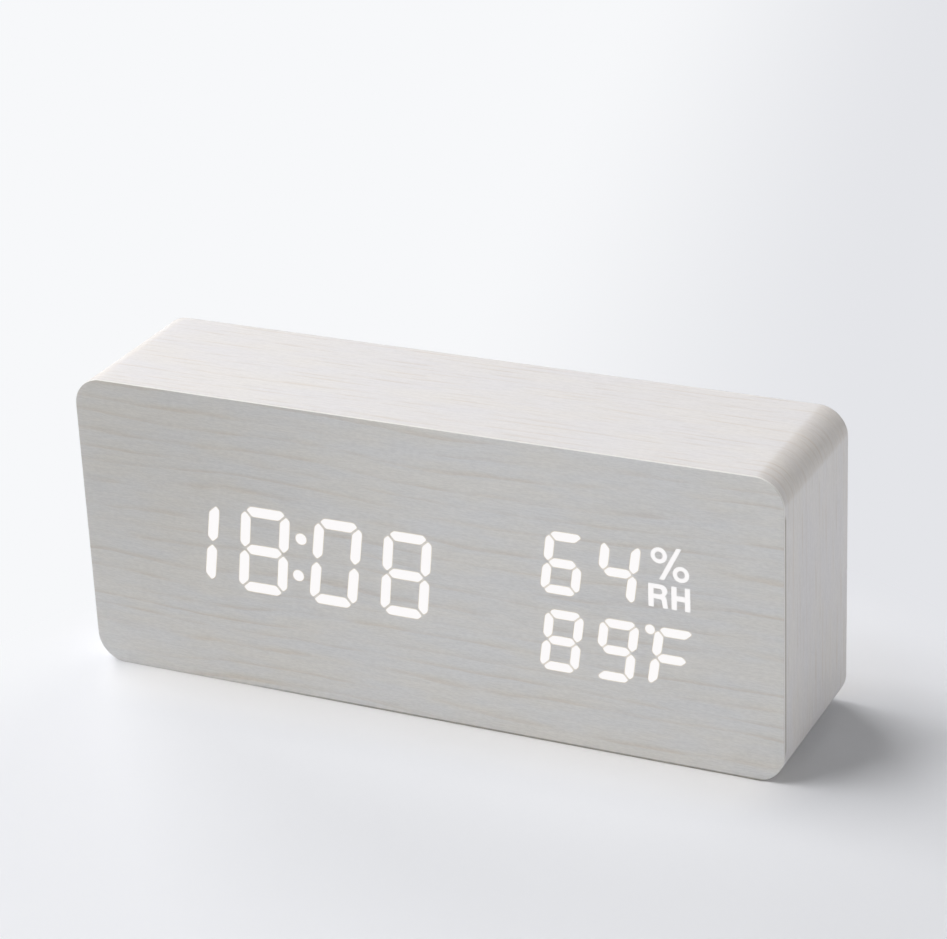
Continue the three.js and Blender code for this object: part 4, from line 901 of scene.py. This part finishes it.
# %% Printed and moulded marks
INK = moulded("pad_printed_grey_ink", "77746f", "7f7c77", 0.6, 0.2, 0.004)
INK_THICKNESS = 0.02
MARK_LIFT, MARK_SIZE, RING_HOLE = np.array([0.0, 6.9]), 1.25, 0.8
TRIANGLE_FOOT, TRIANGLE_SOFTNESS = 0.6, 0.25
DOOR_MARK = {"sunk": 0.2, "rise": 0.45, "edge": 0.08, "tip": 37.4, "size": 2.2}
DOOR_BAR_HEIGHTS, DOOR_BAR = (43.4, 44.7, 46.0), (7.0, 0.6, 0.28)
panel_back = box_mm("rear_panel")[1][1]


def triangle(centre, size, sign):
    """A triangle about a centre that points up for a sign of one, and down for minus one."""
    foot = -TRIANGLE_FOOT * size * sign
    return softened(np.array([(-size, foot), (size, foot), (0.0, sign * size)]), TRIANGLE_SOFTNESS) + centre


key_shapes = [
    triangle(key_centres[key] + MARK_LIFT, MARK_SIZE, sign) for key, sign in (("up", 1), ("down", -1))
]
key_shapes += [
    round_outline(radius, key_centres["set"] + MARK_LIFT, DOT_STEPS)[0] for radius in (MARK_SIZE, RING_HOLE)
]
piece(
    flat_mesh("key_marks", key_shapes, panel_back - INK_THICKNESS, panel_back + INK_THICKNESS, INK),
)
door_low, door_high = box_mm("battery_door")
door_middle = (door_low[0] + door_high[0]) / 2
door_shapes = [triangle((door_middle, DOOR_MARK["tip"]), DOOR_MARK["size"], -1)]
door_shapes += [
    rounded_outline(*DOOR_BAR, (door_middle, height), 4, 4)[0] for height in DOOR_BAR_HEIGHTS
]
door_mesh = flat_mesh(
    "door_mark", door_shapes, panel_back - DOOR_MARK["sunk"], panel_back + DOOR_MARK["rise"],
    FINISHES["back_plastic"], DOOR_MARK["edge"],
)
piece(door_mesh, body="battery_lid")
print("marks", len(key_shapes) + len(door_shapes))

# %% [markdown]
# ## Screws
# A thread is a ridge that climbs once a turn, and a cross recess is a dip along two crossing bands.
# Both are functions of where a point lies on the screw, so one grid of rows along the screw and
# columns round it holds the head, the recess and the thread. The columns bend to run along the
# recess's walls, because a wall that cuts across a grid looks torn.

# %% A screw's surface
RECESS = {"half_length": 1.2, "half_width": 0.3, "depth": 0.85, "ease": 0.07, "taper": 0.45}
RECESS_END, RECESS_FADE = 1.34, 0.5
THREAD_PITCH, THREAD_RIDGE, THREAD_STEP = 0.9, 0.28, 0.15
THREAD_LEAD, TIP_LENGTH = 0.4, 0.9
# The rows of the head's face crowd where the recess's arms begin and end.
FACE_ROWS = (0.02, 0.14, 0.27, 0.36, 0.43, 0.55, 0.75, 0.95, 1.08, 1.14, 1.2, 1.26, 1.34, 1.55, 1.8)


def eased(value):
    """Zero below zero, one above one, and a smooth step 3t^2 - 2t^3 between."""
    t = np.clip(value, 0, 1)
    return t * t * (3 - 2 * t)


def recess_depth(x, z):
    """How deep the cross is sunk at a place on the head: two crossing bands, each eased at its sides
    and at its ends and shallower towards its ends. The deeper band counts."""
    def band(long, short):
        sides = eased((RECESS["half_width"] - np.abs(short)) / RECESS["ease"] + 0.5)
        ends = eased((RECESS["half_length"] - np.abs(long)) / (2 * RECESS["ease"]) + 0.5)
        return sides * ends * (1 - RECESS["taper"] * np.abs(long) / RECESS["half_length"])
    return RECESS["depth"] * np.maximum(band(x, z), band(z, x))


def face_angles(radius, follow):
    """The columns' angles on a circle. On the recess they stand on both sides of each wall, which a
    circle of this radius meets at arcsin(half width / radius). With the follow share going to zero
    they ease into even steps."""
    # Two walls meet half a width times root two from the middle. A smaller circle meets no wall, so
    # it takes the angles of one just outside that corner.
    reach = max(radius, RECESS["half_width"] * math.sqrt(2.02))
    wall = math.asin(RECESS["half_width"] / reach)
    step = min(RECESS["ease"] / reach, 0.4 * wall)
    near = np.array([0.0, 0.35, 0.7]) * (wall - step)
    quarter = np.concatenate([
        near, [wall - step, wall + step], np.linspace(wall + step, QUARTER_TURN - wall - step, 4)[1:-1],
        [QUARTER_TURN - wall - step, QUARTER_TURN - wall + step], QUARTER_TURN - near[:0:-1],
    ])
    even = np.arange(len(quarter)) * QUARTER_TURN / len(quarter)
    mixed = even + follow * (quarter - even)
    return np.concatenate([mixed + number * QUARTER_TURN for number in range(4)])


def screw_grid(head, shank_radius, tip_depth):
    """Rows from the middle of the head's face to the tip, in millimetres, with the face looking along
    plus Y. Head lists (radius, depth) from the face's rim to the shank. In the thread the radius is
    shank - ridge * |2 * fraction(depth / pitch + angle / 2 pi) - 1|."""
    face = [(radius, head[0][1]) for radius in FACE_ROWS if radius < head[0][0] - 0.1]
    start, end = head[-1][1] - THREAD_LEAD, tip_depth + TIP_LENGTH
    down = np.linspace(start, end, int((start - tip_depth) / THREAD_STEP))
    shank = np.column_stack([np.full_like(down, shank_radius), down])
    tip = [(0.72 * shank_radius, tip_depth + 0.45), (0.3 * shank_radius, tip_depth + 0.1)]
    tip.append((0.02, tip_depth))
    rows = np.concatenate([face, head, shank, tip])
    row = np.arange(len(rows))
    follow = np.where(row < len(face), 1 - eased((rows[:, 0] - RECESS_END) / RECESS_FADE), 0)
    angle = np.stack([face_angles(radius, share) for radius, share in zip(rows[:, 0], follow)])
    radius, depth = (np.repeat(rows[:, [column]], angle.shape[1], axis=1) for column in (0, 1))
    climb = (depth / THREAD_PITCH + angle / TURN) % 1
    threaded = (row >= len(face) + len(head)) & (row < len(rows) - len(tip))
    radius = radius - np.where(threaded[:, None], THREAD_RIDGE * np.abs(2 * climb - 1), 0)
    x, z = radius * np.cos(angle), radius * np.sin(angle)
    depth = depth - np.where((row < len(face))[:, None], recess_depth(x, z), 0)
    return np.stack([x, depth, z], axis=-1)


print("a thread climbs", THREAD_PITCH, "mm a turn")

# %% Countersunk and pan head screws
SUNK_HEAD = np.concatenate([
    fillet((2.36, -0.12), 0.12, 90, 0, 4), [(2.3, -0.42), (1.35, -1.3), (1.25, -1.45)],
])
PAN_HEAD = np.concatenate([
    [(1.3, 1.3)], fillet((1.3, 0.6), 0.7, 80, 0, 7), [(2.0, 0.15), (1.9, 0.02), (1.2, 0.0), (1.1, -0.1)],
])
# Each group's head, shank radius, tip, depth of the face in the case and the way it faces.
SCREWS = {
    "panel_screw": (SUNK_HEAD, 1.25, -10.0, 16.5, 1), "led_board_screw": (PAN_HEAD, 1.1, -8.0, -8.5, 1),
    "main_board_screw": (PAN_HEAD, 1.1, -6.6, 5.3, -1),
}
for group, (*sizes, face_depth, facing) in SCREWS.items():
    grid = screw_grid(*sizes)
    for node in (f"{group}_{number}" for number in range(1, 5)):
        low, high = box_mm(node)
        middle = np.array([(low[0] + high[0]) / 2, face_depth, (low[2] + high[2]) / 2])
        mesh = grid_mesh(node + "_steel", grid * np.array([1, facing, 1]) + middle, FINISHES["steel"])
        piece(mesh, node)
print("screws", 4 * len(SCREWS))

# %% [markdown]
# ## Cells
# A small cell is a nickelled can with a printed sleeve shrunk over its rims, and a nub at one end.
# The sleeve's plus end has a paler band, and each end has its sign. The mesh's map counts
# millimetres round the cell and along it from the minus end, so band and signs stay at the right
# ends whichever way the cell lies.

# %% Printed sleeve
BAND_START, FLAKE_SIZE = 31.0, 0.35
# Each bar of a sign: its place round and along the cell, its half sizes, and its ink.
SIGN_BARS = (
    (3.0, 36.0, 1.5, 0.32, "2b4157"), (3.0, 36.0, 0.32, 1.5, "2b4157"), (3.0, 5.5, 1.5, 0.32, "d6dade"),
)
sleeve_finish, sleeve_tree, sleeve_shader = new_material(
    "printed_shrink_sleeve_two_tone", Roughness=0.26, Coat_Weight=0.5, Coat_Roughness=0.12,
)
sleeve_point = grain_point(sleeve_tree)
round_cell, along_cell = (add(sleeve_tree, "SeparateXYZ", (sleeve_point,), axis) for axis in ("X", "Y"))
flakes = add(sleeve_tree, "TexNoise", {
    "Vector": millimetres(sleeve_tree), "Scale": 1 / FLAKE_SIZE, "Detail": 2.0,
})
in_band = add(sleeve_tree, "Math", (along_cell, BAND_START), operation="GREATER_THAN")
printed = add(sleeve_tree, "Mix", {
    0: in_band, 6: toned(sleeve_tree, flakes, 0.3, 0.7, "37536b", "3f5e79"),
    7: toned(sleeve_tree, flakes, 0.3, 0.7, "b9bcbe", "c8cacc"),
}, **BLEND)
for place_round, place_along, half_round, half_along, ink in SIGN_BARS:
    across = add(sleeve_tree, "Math", (round_cell, place_round, half_round), operation="COMPARE")
    along = add(sleeve_tree, "Math", (along_cell, place_along, half_along), operation="COMPARE")
    inside = add(sleeve_tree, "Math", (across, along), operation="MULTIPLY")
    printed = add(sleeve_tree, "Mix", {0: inside, 6: printed, 7: linear(ink)}, **BLEND)
feed(sleeve_shader, Base_Color=printed, Metallic=in_band)
print("sleeve with", len(SIGN_BARS), "printed bars")

# %% Cells
CELL_STEPS = 72
CELL_LENGTH, CELL_RADIUS = 44.5, 5.25
cell_profile = np.concatenate([
    [(0.02, 0.12), (3.3, 0.12), (3.5, 0.02), (3.9, 0.02), (4.3, 0.1)],
    fillet((4.65, 0.6), 0.6, -90, 0, 6),
    [(CELL_RADIUS, along) for along in (2.0, 12.0, 22.0, BAND_START, 40.0)],
    fillet((4.65, 42.9), 0.6, 0, 90, 6),
    [(4.0, 43.3), (3.7, 43.2), (2.2, 43.2), (1.95, 43.3), (1.9, 43.6)],
    fillet((1.6, 44.2), 0.3, 0, 90, 5), [(0.02, CELL_LENGTH)],
])
# The sleeve covers the rows of faces between the can's bare foot and the bare end with the nub.
SLEEVED = (5, len(cell_profile) - 11)
outward, cell_along, upward = np.moveaxis(turned(cell_profile, (0.0, 0.0), CELL_STEPS), -1, 0)
cell_uv = walked_uv(cell_profile[:, 1], np.linspace(0, TURN * CELL_RADIUS, CELL_STEPS + 1))
for number in (1, 2, 3):
    node = f"battery_cell_{number}"
    low, high = box_mm(node)
    middle = (low + high) / 2
    # The first and the third cell have their nub on the right.
    along = low[0] + cell_along if number % 2 == 1 else high[0] - cell_along
    lying = np.stack([along, middle[1] + outward, middle[2] + upward], axis=-1)
    mesh = grid_mesh(f"cell_{number}", lying, sleeve_finish, FINISHES["nickel"], uv=cell_uv)
    row = np.arange(len(mesh.polygons) - 2) // CELL_STEPS
    bare = np.ones(len(mesh.polygons), dtype=np.int32)
    bare[:len(row)] = (row < SLEEVED[0]) | (row >= SLEEVED[1])
    mesh.polygons.foreach_set("material_index", bare)
    piece(mesh, node)
print("cells", number)

# %% [markdown]
# ## Contacts and springs
# Each contact is stamped from thin nickelled strip, with a pad pressed out where a cell's nub lands.
# The minus ends press on cone-shaped springs, so that each turn can sink inside the next. A spring
# is a circle carried along a line that climbs and narrows as it turns.

# %% Contact strips
CELL_AXIS = 9.15
LOW_CELL, MIDDLE_CELL, HIGH_CELL = 20.5, 31.5, 42.5
LEFT_FACE, RIGHT_FACE = (-58.1, 1), (-8.5, -1)
STRIP_THICKNESS, STRIP_DEPTH, STRIP_MARGIN, STAMPED_EDGE = 0.4, 8.4, 4.25, 0.08
STRIP_COLUMNS, STRIP_STEP = 40, 0.22
PAD_RADIUS, PAD_RISE, PAD_FADE = 2.2, 0.2, 0.5


def strip_grid(face, facing, foot, head, pads):
    """A strip's face as a grid over its depth and height, in millimetres. Each pad rises by the rise
    times an eased fall with the distance from its middle."""
    depth = CELL_AXIS + np.linspace(-STRIP_DEPTH / 2, STRIP_DEPTH / 2, STRIP_COLUMNS)
    height = np.linspace(foot, head, int((head - foot) / STRIP_STEP))
    across, up = np.meshgrid(depth, height, indexing="ij")
    rise = np.zeros_like(across)
    for pad in pads:
        distance = np.hypot(across - CELL_AXIS, up - pad)
        rise = rise + PAD_RISE * eased((PAD_RADIUS - distance) / PAD_FADE)
    return np.stack([face + facing * rise, across, up], axis=-1)


# Each strip's node, the side it stands on, the lowest and highest cell that it serves, and its pads.
STRIPS = {
    "strip_minus": ("contact_negative", LEFT_FACE, LOW_CELL, LOW_CELL, []),
    "strip_left": ("contact_link_left", LEFT_FACE, MIDDLE_CELL, HIGH_CELL, [MIDDLE_CELL]),
    "strip_right": ("contact_link_right", RIGHT_FACE, LOW_CELL, MIDDLE_CELL, [LOW_CELL]),
    "strip_plus": ("contact_positive", RIGHT_FACE, HIGH_CELL, HIGH_CELL, [HIGH_CELL]),
}
for name, (node, face, lowest, highest, pads) in STRIPS.items():
    grid = strip_grid(*face, lowest - STRIP_MARGIN, highest + STRIP_MARGIN, pads)
    strip = piece(grid_mesh(name, grid, FINISHES["nickel"], ends="open"), node)
    thick = strip.modifiers.new("strip thickness", "SOLIDIFY")
    thick.thickness, thick.offset = STRIP_THICKNESS * MM, -1.0
    edge = strip.modifiers.new("stamped edge", "BEVEL")
    edge.width, edge.segments, edge.limit_method = STAMPED_EDGE * MM, 2, "ANGLE"
print("contact strips", len(STRIPS))

# %% Springs
SPRING = {"height": 4.5, "wire": 0.3, "base": 3.5, "tip": 2.3, "turns": 3.0, "steps": 220, "round": 12}
PINCHED = 0.6


def coiled_grid(centres, radius, round_steps):
    """A wire of circles about the centres of a line that winds round X. Each circle lies across the
    line's direction d, on the axes a = d x X and b = a x d: centre + radius * (a * cos(angle)
    + b * sin(angle))."""
    ahead = np.gradient(centres, axis=0)
    ahead /= np.linalg.norm(ahead, axis=1, keepdims=True)
    first = np.cross(ahead, [1.0, 0.0, 0.0])
    first /= np.linalg.norm(first, axis=1, keepdims=True)
    second = np.cross(first, ahead)
    angle = np.linspace(0, TURN, round_steps, endpoint=False)[None, :, None]
    return centres[:, None] + radius[:, None, None] * (
        np.cos(angle) * first[:, None] + np.sin(angle) * second[:, None]
    )


def spring_line(face, facing, height):
    """The middle line of the wire: at share s it is turned by 2 pi times the turns times s, narrowed
    from the base to the tip, and has climbed from one wire's radius to the full height, by an eased
    step that leaves both end turns flat."""
    share = np.linspace(0, 1, SPRING["steps"])
    angle = TURN * SPRING["turns"] * share
    radius = SPRING["base"] + share * (SPRING["tip"] - SPRING["base"])
    climb = SPRING["wire"] + (SPRING["height"] - 2 * SPRING["wire"]) * eased(share * 1.1 - 0.05)
    return np.column_stack([
        face + facing * climb, CELL_AXIS + radius * np.cos(angle), height + radius * np.sin(angle),
    ])


# The wire's ends are pinched a little thinner.
wire_radius = np.full(SPRING["steps"], SPRING["wire"])
wire_radius[[0, -1]] *= PINCHED
for name, face, height in (
    ("spring_low", LEFT_FACE, LOW_CELL), ("spring_middle", RIGHT_FACE, MIDDLE_CELL),
    ("spring_high", LEFT_FACE, HIGH_CELL),
):
    wire = coiled_grid(spring_line(*face, height), wire_radius, SPRING["round"])
    piece(grid_mesh(name, wire, FINISHES["steel"]))
print("springs of", SPRING["turns"], "turns")

# %% [markdown]
# ## The power inlet
# The shell is folded from thin strip and its lip is curled, so light runs round the mouth. Inside it
# stands a black tongue with gilt strips on both faces. A moulded lip on the panel frames the mouth
# and hides the play between shell and panel.

# %% Inlet shell, lip, tongue and strips
SHELL_RADIUS, SHELL_FOLD, INLET_WALL, INLET_DEPTH = 1.55, 1.0, 0.3, 6.5
LIP_GAP, LIP_WIDTH, LIP_RISE, LIP_SUNK = 0.04, 0.8, 0.22, 0.1
TONGUE = {"length": 6.6, "height": 0.7, "radius": 0.16, "set_back": 1.0, "break": 0.1}
inlet_low, inlet_high = box_mm("usb_socket")
inlet_middle = ((inlet_low[0] + inlet_high[0]) / 2, (inlet_low[2] + inlet_high[2]) / 2)
inlet_outline = rounded_outline(
    inlet_high[0] - inlet_low[0], inlet_high[2] - inlet_low[2], SHELL_RADIUS, inlet_middle, 12, 12,
)
mouth = inlet_high[1]
inlet_floor, tongue_end = mouth - INLET_DEPTH, mouth - TONGUE["set_back"]
shell_profile = np.concatenate([
    [(-SHELL_FOLD, inlet_low[1]), (0.0, inlet_low[1]), (0.0, mouth - INLET_WALL / 2)],
    fillet((-INLET_WALL / 2, mouth - INLET_WALL / 2), INLET_WALL / 2, 0, 180, 9),
    [(-INLET_WALL, mouth - INLET_WALL), (-INLET_WALL, inlet_floor), (-SHELL_FOLD, inlet_floor)],
])
lip_round = 0.5 * LIP_RISE
lip_profile = np.concatenate([
    [(LIP_GAP, panel_back - LIP_SUNK), (LIP_GAP, panel_back + lip_round)],
    fillet((LIP_GAP + lip_round, panel_back + lip_round), lip_round, 180, 90, 5)[1:],
    fillet((LIP_WIDTH - LIP_RISE, panel_back), LIP_RISE, 90, 0, 6),
    [(LIP_WIDTH, panel_back - LIP_SUNK)],
])
tongue_outline = rounded_outline(TONGUE["length"], TONGUE["height"], TONGUE["radius"], inlet_middle, 8, 6)
tongue_profile = [
    (-0.14, inlet_floor), (0.0, inlet_floor), (0.0, tongue_end - TONGUE["break"]),
    (-TONGUE["break"], tongue_end), (-0.14, tongue_end),
]
for name, profile, outline, finish, slot, ends, node in (
    ("inlet_shell", shell_profile, inlet_outline, "nickel", "nickel", "capped", "usb_socket"),
    ("inlet_lip", lip_profile, inlet_outline, "back_plastic", "back_plastic", "joined", None),
    ("inlet_tongue", tongue_profile, tongue_outline, "black_plastic", "black_plastic", "capped", None),
):
    piece(grid_mesh(name, carried(profile, outline), FINISHES[finish], ends=ends), node)
print("inlet at", np.round(inlet_middle, 2))

# %% Gilt strips
GILT = moulded("gold_flashed_contact", "c9a24e", "d6b063", 0.22, 0.3, 0.002, 1.0, 1.0)
GILT_HALF, GILT_PLACES, GILT_DEPTHS = np.array([0.13, 0.03]), np.linspace(-2.6, 2.6, 8), (5.0, 1.6)
gilt_corners = np.array([(-1, -1), (1, -1), (1, 1), (-1, 1)]) * GILT_HALF
gilt_strips = [
    gilt_corners + (inlet_middle[0] + across, inlet_middle[1] + rise)
    for across in GILT_PLACES for rise in (TONGUE["height"] / 2, -TONGUE["height"] / 2)
]
piece(flat_mesh("inlet_strips", gilt_strips, *(mouth - depth for depth in GILT_DEPTHS), GILT))
print("gilt strips", len(gilt_strips))

# %% [markdown]
# ## The pieces inside
# Boards, chips and the fibreboard core are seen through the vents or not at all. They keep the
# part's own shapes with lightly broken edges.

# %% Inner pieces
INNER_EDGE = 0.1
INNER = {
    "core": ("case_core", "fibreboard"), "film": ("diffuser_film", "diffuser"),
    "light_guide": ("display_reflector", "white_plastic"), "lamp_board": ("led_board", "circuit_board"),
    "lamp_driver": ("display_driver", "black_plastic"),
    "lamp_plug": ("led_board_connector", "white_plastic"),
    "ribbon": ("ribbon_cable", "grey_cable"), "board_plug": ("main_board_connector", "white_plastic"),
    "logic_board": ("main_board", "circuit_board"), "controller": ("controller_chip", "black_plastic"),
    "crystal": ("clock_crystal", "nickel"), "capacitor": ("filter_capacitor", "steel"),
    "sounder": ("buzzer", "black_plastic"), "microphone": ("sound_sensor", "nickel"),
    "air_sensor": ("climate_sensor", "blue_plastic"),
    "lead_minus": ("negative_lead", "black_lead"), "lead_plus": ("positive_lead", "red_lead"),
}
inner = {name: softened_copy(name, node, slot, INNER_EDGE, 2) for name, (node, slot) in INNER.items()}

print("inner pieces", len(inner))

# %% [markdown]
# Where one solid stands for two materials, its faces are sorted by how far their middles lie from a
# place on one axis. A white lamp is a blue one under yellow phosphor, so unlit it looks yellow. The
# chips' leads stand out above and below their bodies, and the capacitor stands on a black base.

# %% Second finishes
PHOSPHOR = moulded("phosphor_in_clear_resin", "e3cf63", "ecdc7e", 0.3, 0.4, 0.004, 1.5)
# Each piece, the axis and the place on it, and the finish of the faces within or beyond a reach.
SECOND_FINISHES = (
    ("lamp_board", "Y", -12.15, PHOSPHOR, "within", 2.0),
    ("controller", "Z", 27.9, FINISHES["steel"], "beyond", 2.72),
    ("lamp_driver", "Z", 31.0, FINISHES["steel"], "beyond", 2.02),
    ("capacitor", "Y", 3.55, FINISHES["black_plastic"], "within", 4.0),
    ("microphone", "Y", 9.1, FINISHES["black_plastic"], "within", 0.02),
)
for name, axis, place, finish, side, reach in SECOND_FINISHES:
    mesh = inner[name].data
    middles = np.empty(len(mesh.polygons) * 3)
    mesh.polygons.foreach_get("center", middles)
    apart = np.abs(middles.reshape(-1, 3)[:, "XYZ".index(axis)] / MM - place)
    chosen = apart < reach if side == "within" else apart > reach
    mesh.materials.append(finish)
    mesh.polygons.foreach_set("material_index", chosen.astype(np.int32))
    print(name, "has", int(chosen.sum()), "faces of", finish.name)

# %% [markdown]
# ## Floor, backdrop and light
# The clock stands on a pale surface that runs out of view. A wide bay of windows to its left lights
# it: one panel a little in front, one high up, and one behind. The room adds a low even light
# with some more from the right. The floor is paint near the clock, with some painted light, where it
# has to hold the shadow. Further out, what the camera sees of it eases into a painted glow in the
# backdrop's colours, lighter at the left and dimmer at the right, and the sky takes the same
# colours, so no line shows between them.

# %% Colours of the floor and the backdrop
# Painted light: the backdrop is a glow that dims from the left to the right, and the floor's paint grows a
# little lighter towards the right, to match how the light falls across them.
BACKDROP, PAINT, FOOT_PAINTED_LIGHT = ("f7f8fa", "e4e5e9"), ("f0f2f5", "f3f5f8"), "ffffff"
# Painted light: the paint is lighter along the front's foot, to cancel the shade the case casts there.
FOOT_START, FOOT_END = (-0.058, -0.018, 0.0), (0.065, -0.018, 0.0)
PAINTED_LIGHT_REACH = 0.018
BACKDROP_AXIS, DIM_EDGES = (1.0, 0.25, 0.0), (-0.045, 0.075)
NEAR_CENTRE, FAR_EDGES = (0.02, -0.04, 0.0), (0.09, 0.12)


def dimmed(tree, place, bright, dim):
    """A colour that goes from bright to dim along one axis as the place passes between two edges."""
    along = add(tree, "VectorMath", (place, BACKDROP_AXIS), "Value", operation="DOT_PRODUCT")
    share = add(tree, "MapRange", (along, *DIM_EDGES), **SMOOTH)
    return add(tree, "Mix", {0: share, 6: linear(bright), 7: linear(dim)}, **BLEND)


def seen_share(tree):
    """One for light that reaches the eye straight, by a mirror or through glass, and zero for the
    light that falls on the object."""
    seen = add(tree, "LightPath", out="Is Camera Ray")
    for way in ("Is Glossy Ray", "Is Transmission Ray"):
        seen = add(tree, "Math", (seen, add(tree, "LightPath", out=way)), operation="MAXIMUM")
    return seen


print("paint", PAINT, "backdrop", BACKDROP)

# %% Floor paint
floor_finish, floor_tree, floor_shader = new_material(
    "matt_white_floor", Roughness=0.7, Specular_IOR_Level=0.2,
)
floor_place = add(floor_tree, "TexCoord", out="Object")
# Painted light along the front's foot, which cancels the case's shade on the floor.
along_foot = add(floor_tree, "VectorMath", (floor_place, FOOT_START), operation="MAXIMUM")
along_foot = add(floor_tree, "VectorMath", (along_foot, FOOT_END), operation="MINIMUM")
from_foot = add(floor_tree, "VectorMath", (floor_place, along_foot), "Value", operation="DISTANCE")
painted_light_share = add(floor_tree, "MapRange", (from_foot, 0.0, PAINTED_LIGHT_REACH, 1.0, 0.0), **SMOOTH)
# Painted light: the paint grows a little lighter towards the right.
paint = dimmed(floor_tree, floor_place, *PAINT)
painted_light_floor = add(floor_tree, "Mix", {0: painted_light_share, 6: paint, 7: linear(FOOT_PAINTED_LIGHT)}, **BLEND)
feed(floor_shader, Base_Color=painted_light_floor)
distance = add(floor_tree, "VectorMath", (floor_place, NEAR_CENTRE), "Value", operation="DISTANCE")
far = add(floor_tree, "MapRange", (distance, *FAR_EDGES), **SMOOTH)
seen_far = add(floor_tree, "Math", (far, seen_share(floor_tree)), operation="MULTIPLY")
# Painted light: further out, the floor glows in the backdrop's colours, dimmer to the right.
glow = add(floor_tree, "Emission", {"Color": dimmed(floor_tree, floor_place, *BACKDROP)})
floor_mix = add(floor_tree, "MixShader", (seen_far, floor_shader.outputs[0], glow))
feed(floor_tree.nodes["Material Output"], Surface=floor_mix)
print("floor eases into the backdrop from", FAR_EDGES[0], "to", FAR_EDGES[1], "m out")

# %% Floor
FLOOR_REACH, FLOOR_STEPS, FLOOR_DROP = 6.0, 25, 0.02 * MM
side = np.linspace(-FLOOR_REACH, FLOOR_REACH, FLOOR_STEPS)
floor_x, floor_y = np.meshgrid(side, side, indexing="ij")
floor_grid = np.stack([floor_x, floor_y, np.full_like(floor_x, -FLOOR_DROP)], axis=-1)
floor_mesh = bpy.data.meshes.new("floor")
floor_mesh.from_pydata(
    floor_grid.reshape(-1, 3).tolist(), [], grid_faces(FLOOR_STEPS, FLOOR_STEPS, "open").tolist(),
)
floor_mesh.materials.append(floor_finish)
floor = bpy.data.objects.new("floor", floor_mesh)
bpy.context.scene.collection.objects.link(floor)
print("floor", 2 * FLOOR_REACH, "m wide")

# %% Room light
ROOM_LIGHT, SIDE_LIGHT, ROOM_COLOUR = 0.155, 0.7, "fdfcfc"
SIDE_AXIS, SIDE_EDGES, LOW_EDGES = (0.96, 0.28, 0.0), (-0.3, 1.0), (0.05, 0.75)
world = bpy.data.worlds.new("studio")
world.use_nodes = True
sky = world.node_tree
direction = add(sky, "TexCoord", out="Generated")
height = add(sky, "SeparateXYZ", (direction,), "Z")
sideways = add(sky, "VectorMath", (direction, SIDE_AXIS), "Value", operation="DOT_PRODUCT")
side_share = add(sky, "MapRange", (sideways, *SIDE_EDGES, 0.0, SIDE_LIGHT), **SMOOTH)
low_share = add(sky, "MapRange", (height, *LOW_EDGES, 1.0, 0.0), **SMOOTH)
level = add(sky, "Math", (side_share, low_share, ROOM_LIGHT), operation="MULTIPLY_ADD")
room = add(sky, "Background", {"Color": linear(ROOM_COLOUR), "Strength": level})
# A direction times the floor's reach is a place at its edge, so both have the same colour there.
horizon = add(sky, "VectorMath", (direction, (FLOOR_REACH,) * 3), operation="MULTIPLY")
# Painted light: the camera sees the same glow in the sky.
backdrop = add(sky, "Background", {"Color": dimmed(sky, horizon, *BACKDROP)})
sky_mix = add(sky, "MixShader", (seen_share(sky), room, backdrop))
feed(sky.nodes["World Output"], Surface=sky_mix)
bpy.context.scene.world = world
print("room light", ROOM_LIGHT, "and up to", SIDE_LIGHT, "more from the right")

# %% [markdown]
# ## Windows
# Three soft oblong lamps stand for the bay. Each is given by its direction as it is seen from the
# clock, its width and height in metres, and its watts, and all are equally far away and face it.

# %% Lamps
WINDOW_DISTANCE, WINDOW_COLOUR = 5.0, "fefdfe"
WINDOWS = {
    "window_front": (-35, 50, (2.1, 2.1), 73.0), "window_middle": (5, 62, (2.1, 3.5), 122.0),
    "window_back": (40, 25, (2.1, 2.1), 78.0),
}
for name, (behind, above, sides, watts) in WINDOWS.items():
    # The first angle is counted from the left hand towards the back.
    place = WINDOW_DISTANCE * towards(math.radians(-90 - behind), math.radians(above))
    lamp = bpy.data.objects.new(name, bpy.data.lights.new(name, "AREA"))
    lamp.data.shape = "RECTANGLE"
    lamp.data.size, lamp.data.size_y = sides
    lamp.data.energy, lamp.data.color = watts, linear(WINDOW_COLOUR)[:3]
    lamp.location = place
    lamp.rotation_mode = "QUATERNION"
    lamp.rotation_quaternion = Vector(place).to_track_quat("Z", "Y")
    bpy.context.scene.collection.objects.link(lamp)
print("windows", len(WINDOWS))
